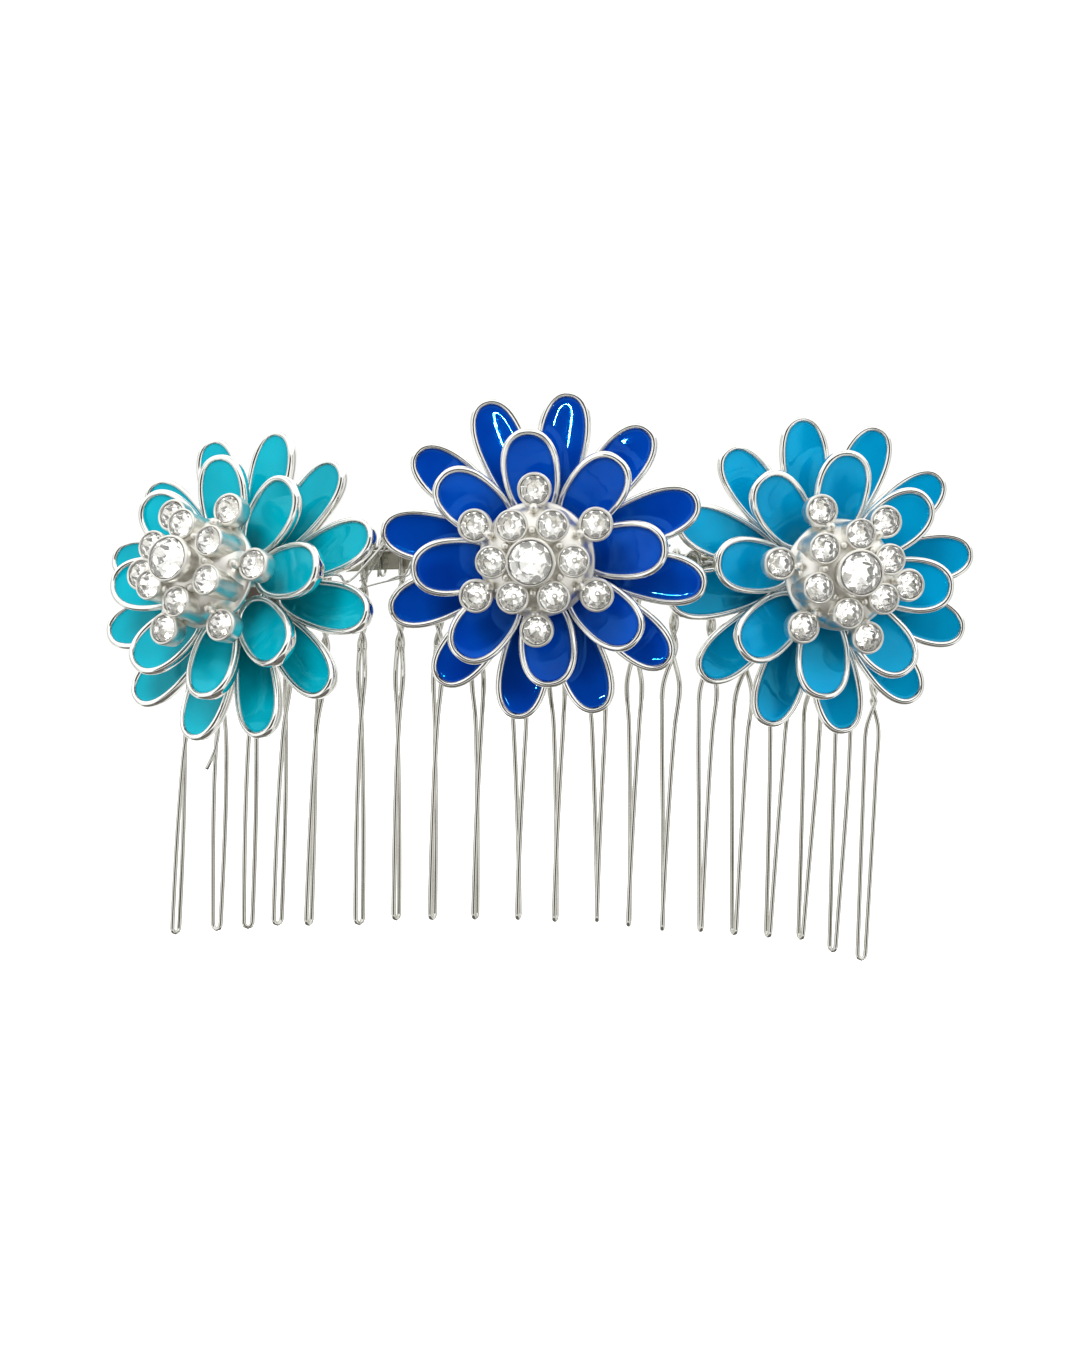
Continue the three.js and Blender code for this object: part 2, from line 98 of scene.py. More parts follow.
def ramp(made, stops):
    """Sets a Color Ramp's stops from (place, colour) pairs."""
    marks = made.color_ramp.elements
    while len(marks) < len(stops):
        marks.new(0.5)
    for mark, (place, colour) in zip(marks, stops):
        mark.position = place
        mark.color = colour


def linear(hex_colour):
    """An sRGB hex colour as linear RGBA."""
    channels = [int(hex_colour[i:i + 2], 16) / 255 for i in (1, 3, 5)]
    curved = [c / 12.92 if c <= 0.04045 else ((c + 0.055) / 1.055) ** 2.4 for c in channels]
    return (*curved, 1.0)


# A light tent of white cloth. Its opening, straight ahead, is one dark patch that draws
# the dark line down every polished wire and deepens the enamel that faces it. Dark
# seams at the sides and back and the dark table below shade the rest of the metal.
PATCH_HALF_WIDTH = 28           # degrees either side of straight ahead
PATCH_TOP = 16                  # degrees above and below level
PATCH_BOTTOM = -26
TABLE_EDGE = -46                # the table shows below this
SEAM_SOFTNESS = 3               # degrees from the patch's edge to full white cloth
# The colour sockets of a Mix node: its two inputs and its result.
MIX_A = 6
MIX_B = 7
MIX_RESULT = 2
world = bpy.data.worlds.new("light_tent")
bpy.context.scene.world = world
world.use_nodes = True
sky = world.node_tree
sky.nodes.clear()
direction = node(sky, "ShaderNodeTexCoord")
parts = node(sky, "ShaderNodeSeparateXYZ", links={"Vector": direction.outputs["Generated"]})
ahead = node(sky, "ShaderNodeMath", {"operation": "MULTIPLY"}, {0: parts.outputs["Y"]}, {1: -1.0})
heading = node(sky, "ShaderNodeMath", {"operation": "ARCTAN2"},
               {0: parts.outputs["X"], 1: ahead.outputs[0]})
compass = node(sky, "ShaderNodeMapRange", links={"Value": heading.outputs[0]},
               inputs={"From Min": -math.pi, "From Max": math.pi})


def bearing(degrees):
    """A place on the compass ramp; 0 is straight ahead of the flowers, 90 to their left."""
    return 0.5 + degrees / 360


def rise_of(degrees):
    """A place on the height ramp."""
    return 0.5 + math.sin(math.radians(degrees)) / 2


round_the_comb = node(sky, "ShaderNodeValToRGB", links={"Fac": compass.outputs[0]})
ramp(round_the_comb, [
    (bearing(-165), (1.04, 1.06, 1.04, 1)),
    (bearing(-152), (0.95, 0.95, 0.93, 1)),
    (bearing(-138), (0.3, 0.29, 0.27, 1)),
    (bearing(-122), (1.0, 1.0, 0.98, 1)),
    (bearing(-100), (0.9, 0.9, 0.88, 1)),
    (bearing(-84), (0.2, 0.19, 0.17, 1)),
    (bearing(-76), (1.01, 1.01, 1.01, 1)),
    (bearing(-PATCH_HALF_WIDTH - SEAM_SOFTNESS), (1.26, 1.26, 1.26, 1)),
    (bearing(-PATCH_HALF_WIDTH), (0.07, 0.06, 0.05, 1)),
    (bearing(PATCH_HALF_WIDTH), (0.09, 0.075, 0.065, 1)),
    (bearing(PATCH_HALF_WIDTH + SEAM_SOFTNESS), (1.19, 1.19, 1.17, 1)),
    (bearing(68), (0.97, 0.97, 0.95, 1)),
    (bearing(78), (0.16, 0.15, 0.13, 1)),
    (bearing(98), (0.79, 0.79, 0.78, 1)),
    (bearing(120), (1.0, 1.0, 0.98, 1)),
    (bearing(136), (0.3, 0.29, 0.27, 1)),
    (bearing(150), (0.95, 0.95, 0.93, 1)),
    (bearing(165), (1.04, 1.06, 1.04, 1)),
])
height = node(sky, "ShaderNodeMapRange", links={"Value": parts.outputs["Z"]},
              inputs={"From Min": -1.0, "From Max": 1.0})
above_and_below = node(sky, "ShaderNodeValToRGB", links={"Fac": height.outputs[0]})
ramp(above_and_below, [
    (rise_of(-90), (0.3, 0.29, 0.28, 1)),
    (rise_of(-62), (0.61, 0.59, 0.58, 1)),
    (rise_of(PATCH_BOTTOM - SEAM_SOFTNESS), (0.9, 0.9, 0.88, 1)),
    (rise_of(PATCH_BOTTOM), (0, 0, 0, 1)),
    (rise_of(PATCH_TOP), (0, 0, 0, 1)),
    (rise_of(PATCH_TOP + SEAM_SOFTNESS), (1.23, 1.23, 1.23, 1)),
    (rise_of(60), (1.38, 1.38, 1.38, 1)),
    (rise_of(90), (0.77, 0.77, 0.77, 1)),
])
tent = node(sky, "ShaderNodeMix", {"data_type": "RGBA", "blend_type": "LIGHTEN"},
            {MIX_A: round_the_comb.outputs["Color"], MIX_B: above_and_below.outputs["Color"]},
            {"Factor": 1.0})
table_edge = node(sky, "ShaderNodeValToRGB", links={"Fac": height.outputs[0]})
ramp(table_edge, [
    (rise_of(TABLE_EDGE - 30), (0.22, 0.21, 0.19, 1)),
    (rise_of(TABLE_EDGE), (0.16, 0.15, 0.14, 1)),
    (rise_of(TABLE_EDGE + 4), (1, 1, 1, 1)),
])
over_table = node(sky, "ShaderNodeMix", {"data_type": "RGBA", "blend_type": "MULTIPLY"},
                  {MIX_A: tent.outputs[MIX_RESULT], MIX_B: table_edge.outputs["Color"]},
                  {"Factor": 1.0})
tent_light = node(sky, "ShaderNodeBackground", links={"Color": over_table.outputs[MIX_RESULT]},
                  inputs={"Strength": 1.0})
# The camera sees plain white behind the comb, and only reflections see the tent.
backdrop = node(sky, "ShaderNodeBackground", inputs={"Color": (1, 1, 1, 1), "Strength": 1.05})
seen = node(sky, "ShaderNodeLightPath")
mixed = node(sky, "ShaderNodeMixShader", links={
    "Fac": seen.outputs["Is Camera Ray"], 1: tent_light.outputs[0], 2: backdrop.outputs[0]})
node(sky, "ShaderNodeOutputWorld", links={"Surface": mixed.outputs[0]})


def softbox(name, place, aim, size, power):
    """A square area light at place, pointing at aim (all mm; power in watts)."""
    lamp = bpy.data.lights.new(name, "AREA")
    lamp.shape = "SQUARE"
    lamp.size = size * MM
    lamp.energy = power
    holder = bpy.data.objects.new(name, lamp)
    bpy.context.collection.objects.link(holder)
    holder.location = Vector(place) * MM
    holder.rotation_euler = (Vector(aim) - Vector(place)).to_track_quat("-Z", "Y").to_euler()
    holder.visible_glossy = False
    return holder


softbox("key_softbox", (-180, -320, 330), (0, 0, -5), 200, 1.5)
softbox("fill_softbox", (260, -300, 120), (0, 0, -5), 180, 0.6)
softbox("low_fill", (0, -260, -220), (0, 0, -15), 220, 0.3)

# A small ring light stands below and to the left of the lens, and two short rows of
# diodes beside it. Only the enamel takes their reflections: thin bright loops and dashes.
RING_LIGHT_RADIUS = 6.5
RING_LIGHT_TUBE = 0.4
RING_LIGHT_PLACE = Vector((-38, -172, -47))
RING_LIGHT_STEPS = 64
DIODE_COUNT = 12
DIODE_PITCH = 1.3
DIODE_SIZE = 0.6
DIODE_ROWS = (Vector((-58, -172, -8)), Vector((-10, -172, -4)))
on_end = Matrix.Rotation(math.pi / 2, 3, "X")
lights_mesh = bpy.data.meshes.new("small_lights")
bm = bmesh.new()
tube = bmesh.ops.create_circle(bm, segments=8, radius=RING_LIGHT_TUBE)["verts"]
bmesh.ops.translate(bm, verts=tube, vec=(RING_LIGHT_RADIUS, 0, 0))
bmesh.ops.rotate(bm, verts=tube, cent=(RING_LIGHT_RADIUS, 0, 0), matrix=on_end)
bmesh.ops.spin(bm, geom=bm.verts[:] + bm.edges[:], cent=(0, 0, 0), axis=(0, 0, 1),
               dvec=(0, 0, 0), angle=2 * math.pi, steps=RING_LIGHT_STEPS, use_merge=True)
facing = RING_LIGHT_PLACE.to_track_quat("Z", "Y").to_matrix().to_4x4()
bmesh.ops.transform(bm, verts=bm.verts, matrix=Matrix.Translation(RING_LIGHT_PLACE) @ facing)
for middle in DIODE_ROWS:
    for i in range(DIODE_COUNT):
        diode = bmesh.ops.create_cube(bm, size=DIODE_SIZE)["verts"]
        beside = Vector((DIODE_PITCH * (i - (DIODE_COUNT - 1) / 2), 0, 0))
        bmesh.ops.translate(bm, verts=diode, vec=middle + beside)
bmesh.ops.recalc_face_normals(bm, faces=bm.faces)
bmesh.ops.scale(bm, verts=bm.verts, vec=(MM, MM, MM))
bm.to_mesh(lights_mesh)
bm.free()
small_lights = bpy.data.objects.new("small_lights", lights_mesh)
bpy.context.collection.objects.link(small_lights)
small_lights.visible_camera = False
small_lights.visible_diffuse = False
small_lights.visible_shadow = False
# Bare white diodes behind clear plastic.
diodes = bpy.data.materials.new("white_diodes")
diodes.use_nodes = True
diode_shader = diodes.node_tree.nodes["Principled BSDF"]
diode_shader.inputs["Emission Color"].default_value = (1, 1, 1, 1)
diode_shader.inputs["Emission Strength"].default_value = 500
lights_mesh.materials.append(diodes)
glazed_pieces = bpy.data.collections.new("glazed_pieces")
small_lights.light_linking.receiver_collection = glazed_pieces

# The floor lies well below the teeth, because the comb is held up as it is worn.
FLOOR_DROP = 45
FLOOR_REACH = 6                # metres each way from the middle
floor_mesh = bpy.data.meshes.new("floor")
bm = bmesh.new()
bmesh.ops.create_grid(bm, x_segments=1, y_segments=1, size=FLOOR_REACH)
bmesh.ops.translate(bm, verts=bm.verts, vec=(0, 0, cad_box[0].z - FLOOR_DROP * MM))
bm.to_mesh(floor_mesh)
bm.free()
floor = bpy.data.objects.new("floor", floor_mesh)
bpy.context.collection.objects.link(floor)
# Matt white paper sweep, lit until it shows no shade.
paper = bpy.data.materials.new("matt_white_paper")
paper.use_nodes = True
paper_shader = paper.node_tree.nodes["Principled BSDF"]
paper_shader.inputs["Base Color"].default_value = linear("#f6f6f5")
paper_shader.inputs["Roughness"].default_value = 0.9
paper_shader.inputs["Emission Color"].default_value = (1, 1, 1, 1)
paper_shader.inputs["Emission Strength"].default_value = 0.6
floor_mesh.materials.append(paper)
floor.visible_glossy = False
floor.visible_diffuse = False

# ---------------------------------------------------------------- spine
# One flat strip of plated steel with rolled edges, bent to the curve of the head
# and drooping at its ends. The teeth hang from it.
TOOTH_COUNT = 20
TOOTH_PITCH = 4.35
BEND_RADIUS = 83
END_DROP = 4.5
STRIP_HEIGHT = 2.8
STRIP_THICKNESS = 0.8
STRIP_OVERHANG = 1.2
STRIP_STEPS = 120
STRIP_ROUNDING = 0.18
STRIP_CORNER = 1.2             # radians between two faces at an edge that gets rounded
half_row = TOOTH_PITCH * (TOOTH_COUNT - 1) / 2
half_strip = half_row + STRIP_OVERHANG


def finish_piece(name, bm, materials, replaced=(), smooth=True, place=None):
    """Turns a bmesh in millimetres into a placed piece that rides on the comb."""
    to_metres = Matrix.Scale(MM, 4)
    bmesh.ops.transform(bm, matrix=to_metres @ (place or Matrix()), verts=bm.verts)
    mesh = bpy.data.meshes.new(name)
    for face in bm.faces:
        face.smooth = smooth
    bm.to_mesh(mesh)
    bm.free()
    for material in materials:
        mesh.materials.append(material)
    piece = bpy.data.objects.new(name, mesh)
    bpy.context.collection.objects.link(piece)
    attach(piece, "root")
    for cad_node in replaced:
        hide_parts(cad_node)
    return piece


def metal(name, colour, roughness, ripple_mm, ripple_depth, tarnish=0.0):
    """A plated metal with a fine ripple in its polish and patches that are a little duller."""
    patch_mm = 2.5
    made = bpy.data.materials.new(name)
    made.use_nodes = True
    tree = made.node_tree
    shader = tree.nodes["Principled BSDF"]
    shader.inputs["Metallic"].default_value = 1.0
    where = node(tree, "ShaderNodeTexCoord")
    ripple = node(tree, "ShaderNodeTexNoise", links={"Vector": where.outputs["Object"]},
                  inputs={"Scale": 1 / (ripple_mm * MM), "Detail": 3.0, "Roughness": 0.5})
    bump = node(tree, "ShaderNodeBump", links={"Height": ripple.outputs["Fac"]},
                inputs={"Strength": 0.35, "Distance": ripple_depth * MM})
    tree.links.new(bump.outputs["Normal"], shader.inputs["Normal"])
    patches = node(tree, "ShaderNodeTexNoise", links={"Vector": where.outputs["Object"]},
                   inputs={"Scale": 1 / (patch_mm * MM), "Detail": 2.0})
    dull = node(tree, "ShaderNodeMapRange", links={"Value": patches.outputs["Fac"]},
                inputs={"To Min": roughness * 0.7, "To Max": roughness * 1.4})
    tree.links.new(dull.outputs[0], shader.inputs["Roughness"])
    tint = node(tree, "ShaderNodeValToRGB", links={"Fac": patches.outputs["Fac"]})
    bright = linear(colour)
    darker = tuple(c * (1 - tarnish) for c in bright[:3]) + (1.0,)
    ramp(tint, [(0.35, darker), (0.6, bright)])
    tree.links.new(tint.outputs["Color"], shader.inputs["Base Color"])
    return made


# Nickel-plated steel strip, rolled: bright with faint lengthwise waviness.
rolled_strip = metal("nickel_plated_rolled_strip", "#c6c5b6", 0.28, 0.9, 0.02, 0.12)


def beside_spine(along, sideways, forward, up):
    """A point near the spine: along its length, then sideways, forward and up from it."""
    angle = along / BEND_RADIUS
    return Vector((
        BEND_RADIUS * math.sin(angle) + sideways * math.cos(angle) + forward * math.sin(angle),
        BEND_RADIUS * (1 - math.cos(angle)) + sideways * math.sin(angle) - forward * math.cos(angle),
        -END_DROP * abs(along / half_row) ** 3 + up,
    ))


strip = bmesh.new()
bmesh.ops.create_grid(strip, x_segments=1, y_segments=1, size=0.5)
bmesh.ops.scale(strip, verts=strip.verts, vec=(STRIP_THICKNESS, STRIP_HEIGHT, 1))
bmesh.ops.rotate(strip, verts=strip.verts, cent=(0, 0, 0), matrix=on_end)
bmesh.ops.rotate(strip, verts=strip.verts, cent=(0, 0, 0), matrix=Matrix.Rotation(math.pi / 2, 3, "Z"))


def strip_station(along):
    """The strip's own axes at a place along it, as a matrix."""
    ahead = beside_spine(along + 0.01, 0, 0, 0) - beside_spine(along - 0.01, 0, 0, 0)
    ahead.normalize()
    forward = Vector((0, 0, 1)).cross(ahead).normalized()
    up = ahead.cross(forward)
    turned = Matrix((ahead, forward, up)).transposed().to_4x4()
    return Matrix.Translation(beside_spine(along, 0, 0, 0)) @ turned


station = strip_station(-half_strip)
bmesh.ops.transform(strip, matrix=station, verts=strip.verts)
front = list(strip.faces)
for i in range(1, STRIP_STEPS + 1):
    grown = bmesh.ops.extrude_face_region(strip, geom=front)["geom"]
    if i > 1:
        bmesh.ops.delete(strip, geom=front, context="FACES_ONLY")
    front = [g for g in grown if isinstance(g, bmesh.types.BMFace)]
    following = strip_station(half_strip * (2 * i / STRIP_STEPS - 1))
    verts = [g for g in grown if isinstance(g, bmesh.types.BMVert)]
    bmesh.ops.transform(strip, matrix=following @ station.inverted(), verts=verts)
    station = following
bmesh.ops.recalc_face_normals(strip, faces=strip.faces)
corners = [e for e in strip.edges if len(e.link_faces) == 2 and e.calc_face_angle(0) > STRIP_CORNER]
bmesh.ops.bevel(strip, geom=corners, offset=STRIP_ROUNDING, offset_type="OFFSET",
                affect="EDGES", segments=3, profile=0.5, material=-1)
finish_piece("spine_strip", strip, [rolled_strip], ["spine"])

# ---------------------------------------------------------------- teeth
# Twenty hairpins of round plated wire. Each wire hooks over the strip, its two
# strands are twisted together, and the legs spread and close to a narrow tip.
TOOTH_WIRE = 0.55
TOOTH_LENGTH = 40.3
HOOK_CLEARANCE = 0.09
HOOK_ARCH = ((1.0, -0.6), (0.8, -0.12), (0.3, 0.0))    # share of its half width, drop from its top
CUT_END = 0.15                 # the wire's two ends meet behind the strip, this far from its middle
TWIST_START = 2.6
TWIST_END = 10.1
SHOULDER_DEPTH = 13.4
TWIST_TURNS = 2.25
STRAND_SPACING = 0.6
LEG_SPACING = 1.85
TIP_SPACING = 0.95
TWIST_STEPS = 36
LEG_STEPS = 6
WIRE_STEP = 0.3
WIRE_SIDES = 12
# Bent by hand: sideways shift at half length and at the tip, extra length, and
# how far the legs have turned at the shoulders and at the tip.
MID_SHIFT = (
    -0.7, 0.2, 0, -0.3, -0.8, 0.2, 0.1, 0, 0.4, 0.6,
    0.5, 0.6, 0.2, -0.3, -0.3, -0.5, -0.1, 0, 0, -0.2,
)
TIP_SHIFT = (
    -1.1, 0.4, 0.2, -0.4, -0.9, 0.7, 0.6, 0.3, 0.7, 1.1,
    0.8, 1.1, 0.3, -0.2, -0.1, -0.4, -0.5, -0.6, -0.5, -0.6,
)
EXTRA_LENGTH = (
    -0.5, -0.2, 0.2, 0.3, 0.6, 0.5, 0, -0.1, -0.3, -0.4,
    -0.3, -0.4, 0, 0.3, 0.2, 0.2, 0, -0.4, 0.2, 0.1,
)
TURN_AT_SHOULDER = (
    30, 60, 60, 45, 45, 50, 50, 50, 40, 0,
    30, 10, 40, 25, 25, 10, 30, 10, 0, 0,
)
TURN_AT_TIP = (
    105, 175, 150, 130, 105, 130, 115, 115, 110, 105,
    110, 100, 110, 110, 95, 85, 90, 90, 80, 20,
)
TURN_EASE = 0.7                # below 1, most of the turn comes in the upper half of the legs
# Silver-plated steel wire, drawn through a die: smooth and very bright.
drawn_wire = metal("silver_plated_drawn_wire", "#dbdad3", 0.06, 0.6, 0.01, 0.08)


def smooth_path(knots, step):
    """Points about a step apart on a smooth curve through the knots."""
    ends = [2 * knots[0] - knots[1]] + list(knots) + [2 * knots[-1] - knots[-2]]
    points = []
    for before, a, b, after in zip(ends, ends[1:], ends[2:], ends[3:]):
        count = max(1, round((b - a).length / step))
        for i in range(count):
            t = i / count
            points.append(0.5 * (2 * a + (b - before) * t
                                 + (2 * before - 5 * a + 4 * b - after) * t ** 2
                                 + (3 * a - before - 3 * b + after) * t ** 3))
    points.append(knots[-1])
    return points


def draw_wire(bm, points, diameter, sides=WIRE_SIDES):
    """Draws a round wire with closed ends along the points."""
    start = len(bm.verts)
    ring = bmesh.ops.create_circle(bm, cap_ends=False, radius=diameter / 2, segments=sides)["verts"]
    heading = Vector((0, 0, 1))
    here = Vector()
    edges = list({e for v in ring for e in v.link_edges})
    headings = [(b - a).normalized() for a, b in zip(points, points[1:])]
    caps = [edges]
    for i, point in enumerate(points):
        arriving = headings[max(i - 1, 0)]
        leaving = headings[min(i, len(headings) - 1)]
        square = (arriving + leaving).normalized()
        swing = heading.rotation_difference(square).to_matrix().to_4x4()
        if i:
            grown = bmesh.ops.extrude_edge_only(bm, edges=edges)["geom"]
            ring = [g for g in grown if isinstance(g, bmesh.types.BMVert)]
            edges = [g for g in grown if isinstance(g, bmesh.types.BMEdge)
                     and g.verts[0] in ring and g.verts[1] in ring]
        move = Matrix.Translation(point) @ swing @ Matrix.Translation(-here)
        bmesh.ops.transform(bm, matrix=move, verts=ring)
        heading = square
        here = point
    caps.append(edges)
    for rim in caps:
        bmesh.ops.holes_fill(bm, edges=rim, sides=0)
    bm.verts.ensure_lookup_table()
    made = bm.verts[start:]
    faces = list({f for v in made for f in v.link_faces})
    bmesh.ops.recalc_face_normals(bm, faces=faces)


def tooth_leg(index, side):
    """One strand's knots, from the hook down the twist and leg to the tip bend."""
    along = (index - (TOOTH_COUNT - 1) / 2) * TOOTH_PITCH
    shoulder_turn = math.radians(TURN_AT_SHOULDER[index])
    tip_turn = math.radians(TURN_AT_TIP[index])
    tip_depth = TOOTH_LENGTH + EXTRA_LENGTH[index] - TIP_SPACING / 2 - TOOTH_WIRE / 2
    mid_depth = TOOTH_LENGTH / 2
    knots = []

    def add(depth, spacing, angle):
        share = min(max((depth - TWIST_END) / (mid_depth - TWIST_END), 0), 1)
        towards_mid = share * share * (3 - 2 * share)
        towards_tip = min(max((depth - mid_depth) / (TOOTH_LENGTH - mid_depth), 0), 1)
        shift = MID_SHIFT[index] * towards_mid * (1 - towards_tip) + TIP_SHIFT[index] * towards_tip
        reach = side * spacing / 2
        sideways = shift + reach * math.cos(angle)
        knots.append(beside_spine(along, sideways, reach * math.sin(angle), -depth))

    end_turn = 2 * math.pi + shoulder_turn - math.pi / 2 - 2 * math.pi * TWIST_TURNS
    for i in range(TWIST_STEPS + 1):
        share = i / TWIST_STEPS
        depth = TWIST_START + (TWIST_END - TWIST_START) * share
        add(depth, STRAND_SPACING, math.pi / 2 + end_turn * share)
    for i in range(LEG_STEPS + 1):
        share = i / LEG_STEPS
        depth = SHOULDER_DEPTH + (tip_depth - SHOULDER_DEPTH) * share
        spacing = LEG_SPACING + (TIP_SPACING - LEG_SPACING) * share
        angle = shoulder_turn + (tip_turn - shoulder_turn) * share ** TURN_EASE
        add(depth, spacing, angle)
    return knots


for index in range(TOOTH_COUNT):
    along = (index - (TOOTH_COUNT - 1) / 2) * TOOTH_PITCH
    out = STRIP_THICKNESS / 2 + HOOK_CLEARANCE + TOOTH_WIRE / 2
    over = STRIP_HEIGHT / 2 + HOOK_CLEARANCE + TOOTH_WIRE / 2
    climb = [(-out * share, over + drop) for share, drop in HOOK_ARCH]
    fall = [(-reach, rise) for reach, rise in climb[::-1]]
    hook = [(-out, CUT_END), *climb, *fall, (out, -STRIP_HEIGHT / 2)]
    hook = [beside_spine(along, 0, reach, rise) for reach, rise in hook]
    rest = [(-out, -STRIP_HEIGHT / 2), (-out, -CUT_END)]
    rest = [beside_spine(along, 0, reach, rise) for reach, rise in rest]
    down = tooth_leg(index, 1)
    up = tooth_leg(index, -1)[::-1]
    middle = (down[-1] + up[0]) / 2
    bend = []
    for angle in (-45, 0, 45):
        across = (up[0] - down[-1]) / 2 * math.sin(math.radians(angle))
        drop = Vector((0, 0, -TIP_SPACING / 2 * math.cos(math.radians(angle))))
        bend.append(middle + across + drop)
    bm = bmesh.new()
    draw_wire(bm, smooth_path([*hook, *down, *bend, *up, *rest], WIRE_STEP), TOOTH_WIRE)
    number = f"{index + 1:02d}"
    finish_piece(f"tooth_wire_{number}", bm, [drawn_wire], [f"tooth_{number}"])

# ---------------------------------------------------------------- petal castings
# Each flower is two zinc-alloy castings, bright plated: an outer ring of twelve
# long trays and an inner ring of eight, each round a hub with a boss and a bore.
# The wall of every tray rolls over into a smooth rim that holds the enamel.
FLOWERS = {                    # where the first petals and first ring stone stand, in degrees
    "left": {"outer": 79.5, "inner": 94.8, "ring": 34.4},
    "middle": {"outer": 81.6, "inner": 96.8, "ring": 62.1},
    "right": {"outer": 100.9, "inner": 85.8, "ring": 83.3},
}
RIVET_HEAD_BOTTOM = 1.9
BORE = 1.3
LAYERS = {                     # a hub is its outline as (radius, height)
    "outer": {
        "count": 12, "tip": 17.7, "tip_height": 6.0, "root": 4.7, "root_height": 4.6,
        "width": 5.8, "taper": 0.2,
        "hub": [(BORE, 2.8), (5.9, 2.8), (6.2, 3.1), (6.15, 3.6), (5.6, 3.9), (4.1, 4.2),
                (3.6, 5.0), (3.3, 6.3), (3.0, 6.6), (BORE, 6.6)],
    },
    "inner": {
        "count": 8, "tip": 13.4, "tip_height": 10.5, "root": 3.9, "root_height": 8.0,
        "width": 6.2, "taper": 0.1,
        "hub": [(BORE, 6.9), (4.9, 6.9), (5.2, 7.2), (5.1, 7.6), (3.6, 8.0), (3.1, 8.8),
                (2.75, 9.9), (2.5, 10.2), (BORE, 10.2)],
    },
}
PETAL_SEGMENTS = 48
PETAL_FULLNESS = 0.9           # 1 is a true oval, less is squarer
TURN_STEPS = 64
# Inset from the outline and height from the rim's crest, from the underside, up
# the wall, over the rim and down to the floor of the tray.
TRAY_SKIN = [
    (1.6, -1.98), (1.1, -1.96), (0.72, -1.86), (0.42, -1.64), (0.2, -1.32), (0.07, -0.92),
    (0.0, -0.5), (0.02, -0.3), (0.08, -0.15), (0.17, -0.06), (0.27, -0.01), (0.36, 0.0),
    (0.45, -0.02), (0.54, -0.07), (0.62, -0.15), (0.67, -0.27), (0.70, -0.68),
    (0.9, -0.76), (1.5, -0.78),
]
# Zinc alloy, cast, tumbled and rhodium plated: mirror-like with a slightly soft skin.
plated_casting = metal("rhodium_plated_zinc_casting", "#f4f4f0", 0.09, 0.8, 0.015, 0.05)


def corners_of(cad_node):
    """The separate corners of a CAD node, in millimetres."""
    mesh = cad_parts[cad_node].data
    return [Vector(key) for key in {tuple(round(c / MM, 4) for c in v.co) for v in mesh.vertices}]


def flower_axes(name):
    """A flower's own frame in millimetres: X right, Y up and Z out along its rivet."""
    rivet = corners_of(f"{name}_rivet")
    stone = corners_of(f"{name}_centre_stone")
    low = sum(rivet, Vector()) / len(rivet)
    high = sum(stone, Vector()) / len(stone)
    outward = (high - low).normalized()
    right = Vector((0, 0, 1)).cross(outward).normalized()
    upward = outward.cross(right)
    head = min((corner - low).dot(outward) for corner in rivet)
    origin = low + outward * (head - RIVET_HEAD_BOTTOM)
    return Matrix.Translation(origin) @ Matrix((right, upward, outward)).transposed().to_4x4()


def petal_stand(layer, angle):
    """Places a petal, laid out along +X from its root with its rim at Z = 0."""
    climb = math.atan2(layer["tip_height"] - layer["root_height"], layer["tip"] - layer["root"])
    return (Matrix.Rotation(angle, 4, "Z")
            @ Matrix.Translation((layer["root"], 0, layer["root_height"]))
            @ Matrix.Rotation(-climb, 4, "Y"))


def petal_length(layer):
    """A petal's length along its own slope."""
    return math.hypot(layer["tip"] - layer["root"], layer["tip_height"] - layer["root_height"])


def raise_oval(layer, skin):
    """One petal's closed skin, raised ring by ring from (inset, height) pairs."""
    bm = bmesh.new()
    half_length = petal_length(layer) / 2
    half_width = layer["width"] / 2
    taper = layer["taper"]
    ring = bmesh.ops.create_circle(bm, cap_ends=False, radius=1, segments=PETAL_SEGMENTS)["verts"]
    for v in ring:
        v.co.x = math.copysign(abs(v.co.x) ** PETAL_FULLNESS, v.co.x)
        v.co.y = math.copysign(abs(v.co.y) ** PETAL_FULLNESS, v.co.y)
        v.co.y *= (1 + taper * v.co.x) / (1 + taper * taper)
    edges = bm.edges[:]
    first_edges = edges
    wide, deep, here = 1.0, 1.0, Vector()
    centre = Vector((half_length, 0, 0))
    for i, (inset, rise) in enumerate(skin):
        if i:
            grown = bmesh.ops.extrude_edge_only(bm, edges=edges)["geom"]
            ring = [g for g in grown if isinstance(g, bmesh.types.BMVert)]
            held = set(ring)
            edges = [g for g in grown if isinstance(g, bmesh.types.BMEdge)
                     and g.verts[0] in held and g.verts[1] in held]
        new_wide, new_deep = half_length - inset, half_width - inset
        there = centre + Vector((0, 0, rise))
        stretch = Matrix.Diagonal((new_wide / wide, new_deep / deep, 1, 1))
        move = Matrix.Translation(there) @ stretch @ Matrix.Translation(-here)
        bmesh.ops.transform(bm, verts=ring, matrix=move)
        wide, deep, here = new_wide, new_deep, there
    for rim in (first_edges, edges):
        bmesh.ops.holes_fill(bm, edges=rim, sides=0)
    bmesh.ops.recalc_face_normals(bm, faces=bm.faces)
    return bm


